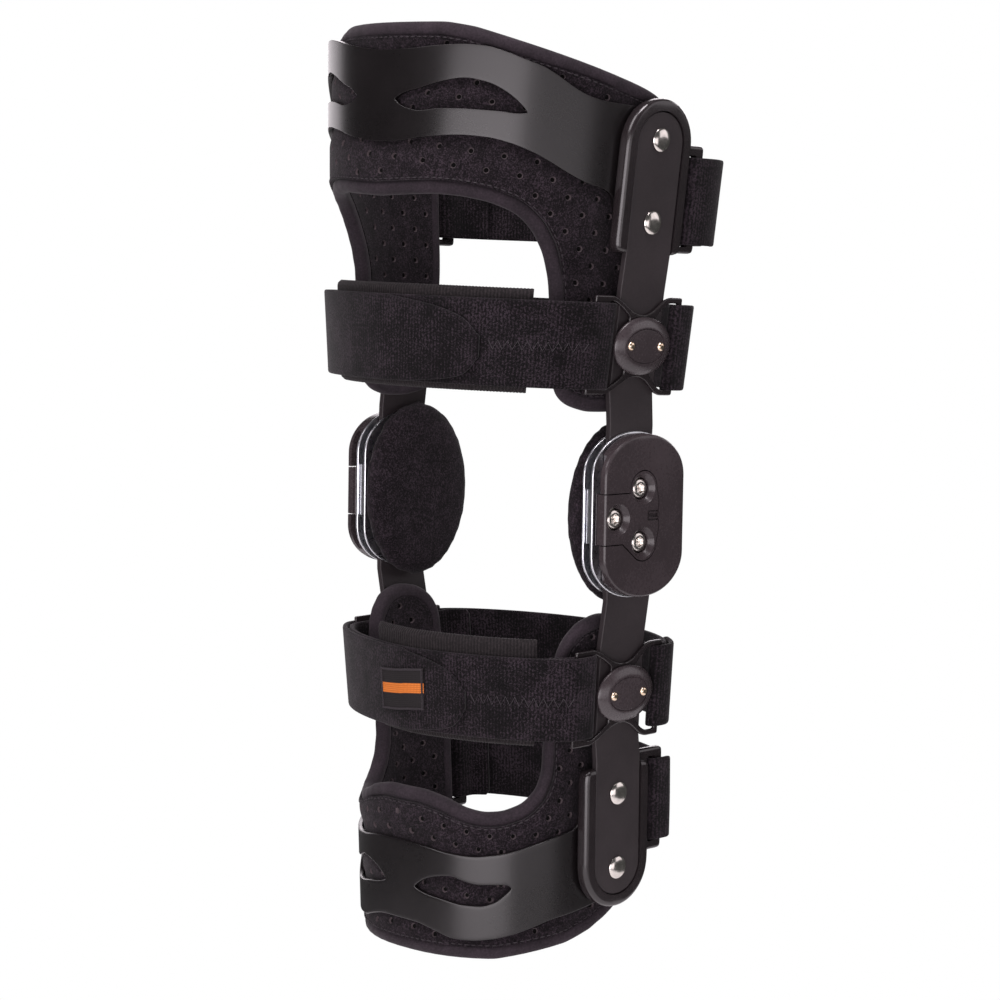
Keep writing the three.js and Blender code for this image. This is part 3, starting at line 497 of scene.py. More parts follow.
# a closed outline with its corners eased and the points of its straight lines dropped
def soften(corners, spread, step=0.5):
    line = evenly(np.vstack([corners, corners[:1]]), step)[0][:-1]
    reach = int(3.5 * spread / step)
    weight = np.exp(-0.5 * (np.arange(-reach, reach + 1) * step / spread) ** 2)
    wide = np.concatenate([line[-reach:], line, line[:reach]])
    line = np.stack([np.convolve(wide[:, k], weight / weight.sum(), "valid") for k in (0, 1)], 1)
    before, after = line - np.roll(line, 1, 0), np.roll(line, -1, 0) - line
    bend = abs(before[:, 0] * after[:, 1] - before[:, 1] * after[:, 0])
    return line[bend > 0.006 * step * step]


def evenShade(piece, angle=32):
    shadeSmooth(piece.data, angle)
    modify(piece, "WEIGHTED_NORMAL", keep_sharp=True)
    return settle(piece)


def combine(piece, tool, operation="DIFFERENCE"):
    modify(piece, "BOOLEAN", operation=operation, object=tool, solver="EXACT")
    settle(piece)
    bpy.data.objects.remove(tool)
    return piece


# turned about x: rows hold x, the share of the half width and, where it differs, of the height
def lathe(name, profile, material, where="thigh", count=48, half=1.0, tall=1.0, at=(0, 0), lean=(0, 0), side=1):
    angle = np.linspace(0, 2 * np.pi, count, endpoint=False)
    rings = [np.stack([np.full(count, row[0]), at[0] + half * row[1] * np.cos(angle),
                       at[1] + tall * row[-1] * np.sin(angle)], 1) for row in profile]
    points = np.concatenate(rings)
    faces, _ = gridFaces(len(profile), count, closeRows=True)
    ends = [[profile[k][0], *at] for k in (0, -1)]
    points = np.vstack([points, ends])
    last = (len(profile) - 1) * count
    for k in range(count):
        faces.append([len(points) - 2, (k + 1) % count, k])
        faces.append([len(points) - 1, last + k, last + (k + 1) % count])
    points[:, 0] += lean[0] + lean[1] * (points[:, 2] - at[1])
    points[:, 0] *= side
    return makePiece(name, points, faces, material, where)


# a flat outline in y and z, thickened along x with soft edges
def plate(name, loops, low, high, edge=0.05):
    curve = bpy.data.curves.new(name, "CURVE")
    curve.dimensions = "2D"
    curve.fill_mode = "BOTH"
    curve.extrude = (high - low) / 2 - edge
    curve.bevel_depth = edge
    curve.bevel_resolution = 2
    curve.offset = -edge
    for loop in loops:
        spline = curve.splines.new("POLY")
        spline.points.add(len(loop) - 1)
        spline.points.foreach_set("co", np.array([(u, v, 0, 1) for u, v in loop], float).ravel())
        spline.use_cyclic_u = True
    flat = addObject(name + "Flat", curve)
    mesh = bpy.data.meshes.new_from_object(flat.evaluated_get(bpy.context.evaluated_depsgraph_get()))
    bpy.data.objects.remove(flat)
    points = np.zeros(len(mesh.vertices) * 3)
    mesh.vertices.foreach_get("co", points)
    u, v, w = points.reshape(-1, 3).T
    faces = [list(p.vertices) for p in mesh.polygons]
    return makePiece(name, np.stack([(low + high) / 2 + w, u, v], 1), faces, None)


# one copy of a flat model for a side of the brace, leaning on a table of heights
def stand(model, name, material, where, side=1, lean=((0, 0), (1, 0))):
    shaped = bmesh.new()
    shaped.from_mesh(model.data)
    for z, _ in lean[1:-1]:
        every = shaped.verts[:] + shaped.edges[:] + shaped.faces[:]
        bmesh.ops.bisect_plane(shaped, geom=every, dist=1e-7, plane_co=(0, 0, z * mm), plane_no=(0, 0, 1))
    shaped.verts.index_update()
    points = np.array([vert.co for vert in shaped.verts]) / mm
    faces = [[vert.index for vert in face.verts] for face in shaped.faces]
    shaped.free()
    points[:, 0] = side * (points[:, 0] + level(lean, points[:, 2]))
    return makePiece(name, points, faces, material, where, sharp=32)


def discard(*pieces):
    for piece in pieces:
        bpy.data.objects.remove(piece)


def box(y0, y1, z0, z1):
    return np.array([(y0, z0), (y1, z0), (y1, z1), (y0, z1)], float)


# the sections that every wall and strap follows: height, half width and front, and the face of each side bar

cuffs = {
    "thigh": {
        "full": 2.08,
        "hollow": [(40, 65.5, 57), (76, 68, 63), (101, 67.8, 69), (130, 70.1, 73), (150, 71.88, 74),
                   (218, 77.94, 74)],
        "bar": [(0, 79), (40, 79), (55, 77.6), (99, 82.2), (116, 84.6), (190, 91.35)],
        "clip": 75.2,
        "rivets": (130, 166.5),
    },
    "calf": {
        "full": 2.3,
        "hollow": [(-206, 53.4, 53), (-128, 55.8, 53), (-107, 56.6, 53), (-83, 60.5, 52), (-47, 64.8, 48),
                   (-40, 65.5, 47)],
        "bar": [(-190, 69.74), (-112, 72.15), (-102, 71.42), (-60, 74.85), (-38.5, 79), (0, 79)],
        "clip": -81.5,
        "rivets": (-128, -162.5),
    },
}
sides = ((1, "outer"), (-1, "inner"))
wallPerDegree = 1.3


def onWall(cuff, turn, z, out):
    turn, z, out = np.broadcast_arrays(np.asarray(turn, float), np.asarray(z, float), np.asarray(out, float))
    half = eased(cuffs[cuff]["hollow"], z, 1) + out
    front = eased(cuffs[cuff]["hollow"], z, 2) + out
    angle = np.radians(np.minimum(abs(turn), 90))
    power = 2 / cuffs[cuff]["full"]
    x = np.sign(turn) * half * np.sin(angle) ** power
    y = sectionY - front * np.cos(angle).clip(0) ** power + np.maximum(abs(turn) - 90, 0)
    return np.stack([x, y, z], -1)


def turnOf(run):
    size = abs(run)
    front = 90 * wallPerDegree
    return np.sign(run) * np.where(size > front, 90 + size - front, size / wallPerDegree)


def runOf(turn):
    size = abs(turn)
    return np.sign(turn) * (np.minimum(size, 90) * wallPerDegree + np.maximum(size - 90, 0))


def slopeAt(cuff, z, reach=8):
    bar = cuffs[cuff]["bar"]
    return float(level(bar, z + reach) - level(bar, z - reach)) / (2 * reach)


# rigid half shells with two vents each: rows hold a turn from the front in degrees, and heights

shellSizes = {
    "thigh": {
        "top": [(0, 201), (12, 201.3), (22, 202.7), (31, 203.4), (38, 202.8), (44, 200.7), (50, 197.8), (56, 195),
                (61, 191.3), (66, 187), (71, 183.8), (78, 181.6), (88, 180.7), (101, 179)],
        "low": [(0, 161), (9, 161.2), (20, 163.1), (32, 164.2), (40, 163.6), (47, 161.7), (54, 158.5), (60, 154.7),
                (66, 150.3), (73, 146.1), (80, 143.4), (83, 140.6), (86, 127), (90, 121.5), (101, 121)],
        "vent": [(8.2, 178.7, 180), (12, 175.9, 182.4), (17.3, 174.4, 184.3), (25, 175.5, 187.4), (32, 175.6, 188.9),
                 (39, 175.2, 187.4), (44.5, 174.8, 184.1), (48.5, 174.2, 180.3), (52.2, 174.3, 175.6)],
        "lift": 3.8,
    },
    "calf": {
        "top": [(0, -149.5), (12, -150.4), (24, -152.4), (35, -153.1), (44, -152.3), (53, -150.8), (63, -148),
                (73, -145.3), (81.5, -142.8), (83.5, -140.5), (86, -128), (90, -121.5), (101, -121)],
        "low": [(0, -186), (7, -186.3), (17, -188.8), (26, -191.5), (34, -191.8), (44, -190.9), (53.5, -188.9),
                (62, -186.3), (71, -183.4), (81, -181.6), (88, -180), (101, -176)],
        "vent": [(7, -170.5, -169.2), (13, -172.4, -165.1), (20, -173.7, -163.2), (25, -174.8, -162.8),
                 (30, -175.6, -164.4), (38, -175.8, -166), (44.5, -174.2, -165.9), (49.5, -170.6, -165.9),
                 (52.4, -168, -166.8)],
        "lift": 1.0,
    },
    "out": 9.0, "thick": 2.2, "edge": 1.0, "tip": 2.2, "rows": 9, "liftTurn": 66.0, "end": 101.0,
    "blend": 26.0,
}


# the inner front of each shell sits a little higher
def shellLift(cuff, turn):
    return shellSizes[cuff]["lift"] * np.sin(np.pi * np.clip(-turn / shellSizes["liftTurn"], 0, 1))


def makeShell(cuff):
    size = shellSizes[cuff]
    start, end = size["vent"][0][0], size["vent"][-1][0]
    fan = (1 - np.cos(np.linspace(0, np.pi, 40))) / 2
    side = np.concatenate([np.linspace(0, start, 7)[:-1], start + (end - start) * fan,
                           np.linspace(end, 90, 40)[1:], np.linspace(90, shellSizes["end"], 6)[1:]])
    turn = np.concatenate([-side[:0:-1], side])
    bare = abs(turn)
    lift = shellLift(cuff, turn)
    low, top = eased(size["low"], bare) + lift, eased(size["top"], bare) + lift
    ventLow, ventHigh = eased(size["vent"], bare, 1) + lift, eased(size["vent"], bare, 2) + lift
    tip = np.minimum(bare - start, end - bare).clip(0) * wallPerDegree / shellSizes["tip"]
    half = (ventHigh - ventLow) / 2 * np.sqrt(1 - (1 - tip.clip(0, 1)) ** 2)
    half[tip < 1e-6] = 0
    past = smoothStep(end, end + shellSizes["blend"], bare)
    middle = (ventLow + ventHigh) / 2 * (1 - past) + (low + top) / 2 * past
    share = np.linspace(0, 1, shellSizes["rows"])[None, :]
    points, faces = [], []
    for first, last in ((low, middle - half), (middle + half, top)):
        z = first[:, None] + (last - first)[:, None] * share
        part, _ = gridFaces(len(turn), z.shape[1])
        faces += (np.array(part) + len(points) * z.size).tolist()
        points.append(onWall(cuff, turn[:, None], z, shellSizes["out"]).reshape(-1, 3))
    shell = makePiece(cuff + "Shell", np.concatenate(points), faces, "moulded", cuff)
    middleOut = shell.data.polygons[len(shell.data.polygons) // 4]
    wayIn = -1 if middleOut.normal.dot(middleOut.center * Vector((1, 1, 0))) > 0 else 1
    modify(shell, "SOLIDIFY", thickness=shellSizes["thick"] * mm, offset=wayIn, use_even_offset=True)
    modify(shell, "BEVEL", width=shellSizes["edge"] * mm, segments=3, angle_limit=math.radians(50))
    modify(shell, "WEIGHTED_NORMAL", keep_sharp=True)
    settle(shell)
    return dress(shell, cuff, "charcoal_plastic", [cuff + "_shell"])


for cuffName in cuffs:
    makeShell(cuffName)
print("shells made")


# padded liners, perforated, with a bound edge

linerSizes = {
    "thigh": {
        "near": [(0, 136.9), (11, 137.5), (22, 138.5), (32, 137.8), (42, 135.7), (51, 131.5), (57, 124.6),
                 (61.5, 114.6), (63.7, 103.5), (64.2, 90), (64.4, 58), (66.5, 51.2), (71.4, 47.4), (80, 45),
                 (92, 45), (103, 47.4), (109.6, 52.5), (112, 60)],
        "far": [(0, 214.2), (14, 214.3), (24, 213.5), (33, 211.7), (42, 208.6), (52, 204.7), (63, 200), (74, 196),
                (84, 192.9), (92, 190.6), (99, 188.4), (105, 186), (109.6, 182.5), (112, 175)],
        "free": (104, 116), "stretch": 0.95, "lean": 4.5, "leanFrom": 196.0, "leanTo": 214.0,
        "holes": {"run": 11.1, "z": 155.9, "drop": 0.125, "past": 75.0},
    },
    "calf": {
        "near": [(0, -124.9), (9, -125.3), (20, -127.7), (30, -131.7), (39, -133.5), (48.5, -133), (58.4, -129.7),
                 (65.2, -123.4), (67.9, -115), (68.1, -98), (68.3, -70), (69, -62.3), (71.8, -55.2), (79, -47.8),
                 (89, -44.5), (100, -46.5), (108, -52), (112, -60)],
        "far": [(0, -200.6), (16, -200), (30, -200.6), (44, -201.4), (56, -200.5), (69, -198.6), (81, -196.3),
                (90, -193.2), (98, -189.6), (105, -186), (110, -181), (112, -174)],
        "free": (-108, -120), "stretch": 1.16, "lean": 0.0, "leanFrom": -190.0, "leanTo": -200.0,
        "holes": {"run": -0.7, "z": -136.5, "drop": 0.13, "past": 57.0},
    },
    "thick": 6.4, "bulge": 1.8, "ventBulge": 0.9, "spacing": 1.5, "rim": 6.2, "rimStep": 1.4, "core": 0.8,
    "hole": 1.5, "throat": 0.66, "throatEdge": 0.1, "holeDepth": 1.0, "holeClear": 0.6, "holeSharp": 38.0,
    "holeEdge": 9.0, "pitch": (14.0, 7.4), "corner": 2.6,
}
bindingSizes = {
    "profile": [(0.0, 3.3), (0.25, 4.9), (1.1, 6.3), (2.6, 7.0), (4.3, 7.1), (5.6, 6.8), (6.5, 5.9), (6.9, 4.0),
                (6.9, 1.4), (6.3, 0.35), (5.0, 0.0), (3.0, 0.0), (1.2, 0.35), (0.3, 1.7)],
    "step": 2.2, "pucker": 0.0144, "puckerPitch": 8.3,
    "seam": 7.1, "seamStep": 1.5, "seamLift": 0.1,
}


def linerOutline(cuff):
    size = linerSizes[cuff]
    near = [(runOf(turn), z) for turn, z in size["near"]]
    far = [(runOf(turn), z) for turn, z in size["far"]]
    left = [(-run, z) for run, z in near[:0:-1]]
    back = [(-run, z) for run, z in far[1:]]
    return soften(np.array(left + near + far[::-1] + back), linerSizes["corner"])


def inwards(line):
    way = np.roll(line, -1, 0) - np.roll(line, 1, 0)
    way /= np.linalg.norm(way, axis=1)[:, None]
    after = np.roll(line, -1, 0)
    side = np.sign(np.sum(line[:, 0] * after[:, 1] - after[:, 0] * line[:, 1]))
    return side * np.stack([-way[:, 1], way[:, 0]], 1)


def inset(line, distance, step):
    moved = line + inwards(line) * distance
    return evenly(np.vstack([moved, moved[:1]]), step)[0][:-1]


def inside(points, line):
    x, z = points[:, :1], points[:, 1:]
    a, b = line, np.roll(line, -1, 0)
    across = (a[None, :, 1] > z) != (b[None, :, 1] > z)
    reach = (b[:, 0] - a[:, 0]) * (z - a[:, 1]) / np.where(b[:, 1] == a[:, 1], 1, b[:, 1] - a[:, 1]) + a[:, 0]
    return np.sum(across & (x < reach), 1) % 2 == 1


def linerOut(cuff, run, z):
    size, shell, turn = linerSizes[cuff], shellSizes[cuff], turnOf(run)
    bare = abs(turn)
    lower = z - shellLift(cuff, turn)
    below = eased(shell["low"], bare) - lower
    above = lower - eased(shell["top"], bare)
    free = smoothStep(-1, 9, np.maximum(below, above)) * smoothStep(84, 74, bare)
    free = free * smoothStep(size["free"][0], size["free"][1], z)
    vent = np.minimum(lower - eased(shell["vent"], bare, 1), eased(shell["vent"], bare, 2) - lower)
    inVent = smoothStep(0.5, 4, vent) * (bare > shell["vent"][0][0]) * (bare < shell["vent"][-1][0])
    return linerSizes["thick"] + linerSizes["bulge"] * free + linerSizes["ventBulge"] * inVent


# the upper inner edge of the thigh liner leans inwards
def onLiner(cuff, run, z, out):
    size, turn = linerSizes[cuff], turnOf(run)
    lean = size["lean"] * smoothStep(5, -35, turn) * smoothStep(size["leanFrom"], size["leanTo"], z)
    return onWall(cuff, turn, z, out - lean)


def holeSpots(cuff):
    size, (across, rise) = linerSizes[cuff]["holes"], linerSizes["pitch"]
    row, column = np.meshgrid(np.arange(-16, 17), np.arange(-14, 15), indexing="ij")
    run = size["run"] + across * (column + 0.5 * (row % 2))
    z = size["z"] + rise * row - size["drop"] * np.minimum(abs(run), size["past"])
    return np.stack([run.ravel(), z.ravel()], 1)


def makeLiner(cuff):
    edge = linerOutline(cuff)
    rim = inset(edge, linerSizes["rim"], linerSizes["rimStep"])
    core = inset(rim, linerSizes["core"], linerSizes["rimStep"])
    gap, hole = linerSizes["spacing"], linerSizes["hole"]
    low, high = rim.min(0), rim.max(0)
    rows = np.arange(low[1], high[1], gap * math.sqrt(3) / 2)
    columns = np.arange(low[0], high[0], gap)
    field = np.concatenate([np.stack([columns + (k % 2) * gap / 2, np.full(len(columns), z)], 1)
                            for k, z in enumerate(rows)])
    centres = holeSpots(cuff)
    centres = centres[inside(centres, inset(edge, linerSizes["holeEdge"], 2))]
    field = field[inside(field, core)]
    clear = np.min(np.hypot(*(field[:, None, :] - centres[None]).transpose(2, 0, 1)), 1)
    angle = np.radians(np.arange(0, 360, 45))
    ring = np.stack([np.cos(angle) * linerSizes[cuff]["stretch"], np.sin(angle)], 1) * hole
    dots = (centres[:, None, :] + np.vstack([[(0, 0)], ring * linerSizes["throat"], ring])[None]).reshape(-1, 2)
    flat = np.vstack([rim, field[clear > hole + linerSizes["holeClear"]], dots])
    made = geometry.delaunay_2d_cdt([Vector(p) for p in flat], [], [list(range(len(rim)))], 1, 1e-5)
    flat, triangles = np.array([tuple(p) for p in made[0]]), np.array(made[2])
    a, b, c = (flat[triangles[:, k]] for k in range(3))
    turned = np.cross(b - a, c - a) < 0
    triangles[turned] = triangles[turned][:, ::-1]
    run, z = flat.T
    outer, inner = onLiner(cuff, run, z, linerOut(cuff, run, z)), onLiner(cuff, run, z, 0.0)
    count = len(flat)
    pairs = {(t[k], t[(k + 1) % 3]) for t in triangles.tolist() for k in range(3)}
    walls = [[q, p, p + count, q + count] for p, q in pairs if (q, p) not in pairs]
    faces = triangles.tolist() + (triangles[:, ::-1] + count).tolist() + sorted(walls)
    liner = makePiece(cuff + "Liner", np.vstack([outer, inner]), faces, "felt", cuff, sharp=180, tidy=False)
    run, z = centres.T
    mouths = np.vstack([onLiner(cuff, run, z, linerOut(cuff, run, z)), onLiner(cuff, run, z, 0.0)])
    holes = lineMesh(cuff + "Holes", mouths, cuff)
    grow(liner, trees["perforate"], Holes=holes, Radius=hole * mm, Depth=linerSizes["holeDepth"] * mm,
         Throat=linerSizes["throat"] + linerSizes["throatEdge"], Material=look["felt"])
    liner.data.set_sharp_from_angle(angle=math.radians(linerSizes["holeSharp"]))
    discard(holes)
    return dress(liner, cuff, "liner_felt", [cuff + "_liner"])


def makeBinding(cuff):
    edge = inset(linerOutline(cuff), 0, bindingSizes["step"])
    normal = inwards(edge)
    run = runAlong(edge, True)
    profile = np.array(bindingSizes["profile"])
    wave = bindingSizes["pucker"] * np.sin(run[:-1] * 2 * np.pi / bindingSizes["puckerPitch"])
    spot = edge[:, None, :] + normal[:, None, :] * profile[None, :, :1]
    out = profile[None, :, 1] * (1 + wave[:, None])
    points = onLiner(cuff, spot[..., 0], spot[..., 1], out).reshape(-1, 3)
    faces, corners = gridFaces(len(edge), len(profile), True, True)
    across = runAlong(profile, True)
    binding = makePiece(cuff + "Binding", points, faces, "knit", cuff, flatOf(corners, run, across), sharp=180)
    modify(binding, "SUBSURF", levels=1, render_levels=1)
    settle(binding)
    dress(binding, cuff, "binding_knit", [cuff + "_binding"])
    run, z = inset(edge, bindingSizes["seam"], bindingSizes["seamStep"]).T
    seam = onLiner(cuff, run, z, linerOut(cuff, run, z) + bindingSizes["seamLift"])
    stitches = lineMesh(cuff + "BindingStitches", seam, cuff, True)
    grow(stitches, trees["stitch"], Material=look["thread"], **stitchOf("binding"))
    return dress(stitches, cuff, "binding_knit")


for cuffName in cuffs:
    makeLiner(cuffName)
    makeBinding(cuffName)
print("liners made")


# side bars, and the moulded bracket with a strap loop over each bar's end

barSizes = {"half": 14.0, "thick": 3.0, "edge": 0.45, "eye": 11.6, "neck": 13.4, "neckPast": 15.0}
bracketSizes = {
    "half": 20.2, "floor": 3.0, "rim": 0.5, "edge": 2.2, "gap": 0.4, "corner": 3.0,
    "loopThick": 4.0, "loopEdge": 1.3, "loopLift": 0.15, "loopCorner": 1.6, "slotCorner": 0.8,
    "loopY": (8.0, 30.8), "slotY": (20.6, 26.2),
    "thigh": {"end": 164.8, "open": 116.0, "loop": (117.1, 165.3), "slot": (120.0, 161.0)},
    "calf": {"end": -160.8, "open": -115.0, "loop": (-158.5, -110.5), "slot": (-154.5, -114.5)},
}


def roundEnd(half, z, away, start=0.0):
    angle = start + np.linspace(0, np.pi, 33)
    return np.stack([half * np.cos(angle), z + away * half * np.sin(angle)], 1)


def tongue(half, end, opening):
    return np.vstack([[(half, opening)], roundEnd(half, end, np.sign(end)), [(-half, opening)]])


for cuffName, cuff in cuffs.items():
    size = bracketSizes[cuffName]
    away = np.sign(size["end"])
    pivot = away * pivotZ
    neck = pivot + away * barSizes["neckPast"]
    barLoop = np.vstack([roundEnd(barSizes["eye"], pivot, away, np.pi), [(barSizes["neck"], neck)],
                         roundEnd(barSizes["half"], size["end"], away), [(-barSizes["neck"], neck)]])
    floor = -barSizes["thick"] - bracketSizes["gap"]
    low = floor - bracketSizes["floor"]
    bar = plate("bar", [barLoop], -barSizes["thick"], 0, barSizes["edge"])
    bodyLoop = soften(tongue(bracketSizes["half"], size["end"], size["open"]), bracketSizes["corner"], 1.0)
    bracket = plate("bracket", [bodyLoop], low, bracketSizes["rim"], bracketSizes["edge"])
    strapLoop = soften(box(*bracketSizes["loopY"], *size["loop"]), bracketSizes["loopCorner"], 1.0)
    loopLow, loopTop = low + bracketSizes["loopLift"], low + bracketSizes["loopThick"]
    combine(bracket, plate("loop", [strapLoop], loopLow, loopTop, bracketSizes["loopEdge"]), "UNION")
    channel = tongue(barSizes["half"] + bracketSizes["gap"], size["end"], size["open"] - 5 * away)
    combine(bracket, plate("channel", [channel], floor, 3))
    slotLoop = soften(box(*bracketSizes["slotY"], *size["slot"]), bracketSizes["slotCorner"], 0.8)
    combine(bracket, plate("slot", [slotLoop], low - 2, 3))
    for side, sideName in sides:
        kinds = (("bar", bar, "coated", "black_steel"), ("bracket", bracket, "slick", "charcoal_plastic"))
        for kind, model, material, slot in kinds:
            name = cuffName + kind.title() + sideName.title()
            piece = stand(model, name, material, cuffName, side, cuff["bar"])
            dress(evenShade(piece), cuffName, slot, [cuffName + "_" + kind + "_" + sideName])
    discard(bar, bracket)
print("bars and brackets made")


# small turned heads, set where they belong by one tree

rivetSizes = {"profile": [(-6.2, 1.2), (-6.2, 2.5), (0.3, 2.5), (0.3, 5.1), (0.55, 5.25), (0.95, 4.95), (1.4, 4.1),
                          (1.72, 3.0), (1.88, 1.8), (1.9, 0.7)]}
pinSizes = {"profile": [(-0.4, 0.4), (-0.4, 2.0), (0.3, 2.0), (0.8, 1.6), (1.05, 1.0), (1.1, 0.35)], "y": 9.2,
            "rise": 3.5}
screwSizes = {"spots": [("upper", 0, 12), ("front", -15.6, -1), ("lower", 0, -12)], "low": 83.5, "high": 86.2,
              "round": 4.5, "socket": 2.35, "deep": 1.7}


def headsAt(name, rows, head, finish, where, body, slot, nodes=()):
    spot = lineMesh(name, [row[0] for row in rows], where)
    facing = spot.data.attributes.new("facing", "FLOAT_VECTOR", "POINT")
    ways = [place[where].to_3x3() @ Vector(row[1]).normalized() for row in rows]
    facing.data.foreach_set("vector", np.array(ways).ravel())
    grow(spot, trees["heads"], Head=head, Material=look[finish])
    return dress(evenShade(spot, 40), body, slot, nodes)


def turnedHead(name, profile):
    head = lathe(name, profile, None, count=36)
    head.data.transform(Matrix.Rotation(math.radians(-90), 4, "Y"))
    return head


def screwHead():
    count = 36
    angle = np.linspace(0, 2 * np.pi, count, endpoint=False)
    hexagon = screwSizes["socket"] * math.cos(math.pi / 6) / np.cos((angle % (np.pi / 3)) - np.pi / 6)
    tall, wide, deep = screwSizes["high"] - screwSizes["low"], screwSizes["round"], screwSizes["deep"]
    rows = [(0, 1.0), (0, wide), (tall - 1.1, wide), (tall - 0.6, wide - 0.15), (tall - 0.25, wide - 0.6),
            (tall, wide - 1.3), (tall, hexagon + 0.25), (tall - 0.2, hexagon), (tall - deep, hexagon),
            (tall - deep - 0.3, 0.4)]
    points = np.concatenate([
        np.stack([r * np.cos(angle), r * np.sin(angle), np.full(count, x)], 1) for x, r in rows])
    faces, _ = gridFaces(len(rows), count, closeRows=True)
    faces.append(list(range(count))[::-1])
    faces.append(list(range((len(rows) - 1) * count, len(rows) * count)))
    return makePiece("screwHead", points, faces, None, sharp=30)


rivet = turnedHead("rivetHead", rivetSizes["profile"])
pinHead = turnedHead("pinHead", pinSizes["profile"])
screw = screwHead()
for cuffName, cuff in cuffs.items():
    rows, nodes = [], []
    for number, z in enumerate(cuff["rivets"], 1):
        for side, sideName in sides:
            rows.append(((side * level(cuff["bar"], z), 0, z), (side, 0, -side * slopeAt(cuffName, z))))
            nodes.append(cuffName + "_rivet_" + str(number) + "_" + sideName)
    headsAt(cuffName + "Rivets", rows, rivet, "nickel", cuffName, cuffName, "nickel", nodes)


# crossed strap clips with an oval button and two pins on each

clipSizes = {
    "low": 0.4, "high": 2.0, "edge": 0.6, "soft": 0.8,
    "outer": [(-30.2, 22), (-19, 22), (-13.5, 19.6), (-6.5, 15.2), (-2, 13.9), (2, 13.9), (6, 15.5), (12.8, 21),
              (16, 22), (23.8, 22)],
    "windows": [[(-21.4, 19.4), (-18, 19.4), (-13, 16.7), (-8, 13)],
                [(8, 13), (13.3, 18), (16, 19.4), (21.2, 19.4)]],
}
buttonSizes = {
    "half": 17.3, "tall": 12.9, "low": 2.4,
    "profile": [(0, 0.3), (0, 0.93), (0.2, 0.975), (0.5, 1.0), (1.2, 1.0), (1.55, 0.985), (2.85, 0.85, 0.83),
                (3.45, 0.765, 0.7), (3.7, 0.715, 0.635), (3.66, 0.69, 0.61), (3.2, 0.682, 0.6), (3.2, 0.672, 0.59),
                (3.55, 0.66, 0.575), (3.6, 0.63, 0.55), (3.6, 0.3, 0.26)],
}


def mirrored(path, z):
    path = np.array(path, float)
    return soften(np.vstack([path, path[::-1] * (1, -1)]), clipSizes["soft"], 0.5) + (0, z)


for cuffName, cuff in cuffs.items():
    z0 = cuff["clip"]
    face, slope = float(level(cuff["bar"], z0)), slopeAt(cuffName, z0)
    flatLean = [(z0 - 100, face - 100 * slope), (z0 + 100, face + 100 * slope)]
    loops = [mirrored(path, z0) for path in (clipSizes["outer"], *clipSizes["windows"])]
    model = plate("clip", loops, clipSizes["low"], clipSizes["high"], clipSizes["edge"])
    pins = []
    for side, sideName in sides:
        clip = stand(model, cuffName + "Clip" + sideName.title(), "slick", cuffName, side, flatLean)
        dress(evenShade(clip), cuffName, "charcoal_plastic", [cuffName + "_clip_" + sideName])
        profile = [(row[0] + buttonSizes["low"], *row[1:]) for row in buttonSizes["profile"]]
        button = lathe(cuffName + "Button" + sideName.title(), profile, "glossy", cuffName, 72,
                       buttonSizes["half"], buttonSizes["tall"], (0, z0), (face, slope), side)
        dress(button, cuffName, "charcoal_plastic", [cuffName + "_button_" + sideName])
        for y in (-pinSizes["y"], pinSizes["y"]):
            pins.append(((side * (face + buttonSizes["low"] + pinSizes["rise"]), y, z0), (side, 0, -side * slope)))
    headsAt(cuffName + "ButtonPins", pins, pinHead, "brass", cuffName, cuffName, "nickel")
    discard(model)
print("rivets, clips and buttons made")


# hinge heads: cover, flush inset with countersunk screws, plates, stop and pad

hingeSizes = {
    "y": 1.0, "half": 25.0, "tall": 36.5, "straight": 17.2, "low": 81.4, "floor": 83.4, "high": 88.4, "edge": 1.6,
    "split": 0.5, "front": -28.0, "top": 10.2, "base": -12.0, "bend": -12.5, "back": 9.3, "waist": 7.0, "lobe": 8.0,
    "recess": [(83, 0.5), (83, 4.9), (85.9, 4.9), (86.5, 5.2), (88.0, 6.7), (88.8, 7.4), (88.8, 0.5)],
    "slots": [(-32, -18.5, 10.4, 27.5), (-32, -18.5, -29.5, -12.4)], "slotTop": 85.2,
    "notch": (2.6, 9.6, -2.3, 2.3), "notchLine": 0.75, "notchDeep": 1.1,
    "slit": (2.8, 10, -0.9, 0.9), "slitDeep": 1.6,
    "grow": 0.8, "plates": {"outer_plate": (79.4, 81.0), "back_plate": (74.1, 75.6)},
    "stop": (-23.6, -13.2, -12, 12), "stopX": (76, 79), "plateEdge": 0.65, "stopEdge": 0.3,
}


def coverLoop(grow):
    size, loop = hingeSizes, []
    half, cap = size["half"] + grow, size["tall"] - size["straight"] + grow
    for way, start in ((1, 0), (-1, np.pi)):
        angle = start + np.linspace(0, np.pi, 41)
        y, z = size["y"] + half * np.cos(angle), way * size["straight"] + cap * np.sin(angle)
        loop.append(np.stack([y, z], 1))
    return np.vstack(loop)


def insertLoop(grow):
    size = hingeSizes
    under, over = (np.radians(np.linspace(*span, 25)) for span in ((225, 360), (0, 180)))
    lobe = size["lobe"] + grow
    return np.vstack([
        [(size["front"], size["base"] - grow), (size["bend"] - grow, size["base"] - grow)],
        np.stack([lobe * np.cos(under), lobe * np.sin(under) - pivotZ], 1),
        [(size["back"] + grow, -size["waist"]), (size["back"] + grow, size["waist"])],
        np.stack([lobe * np.cos(over), lobe * np.sin(over) + pivotZ], 1),
        [(-lobe, size["top"] + grow), (size["front"], size["top"] + grow)]])


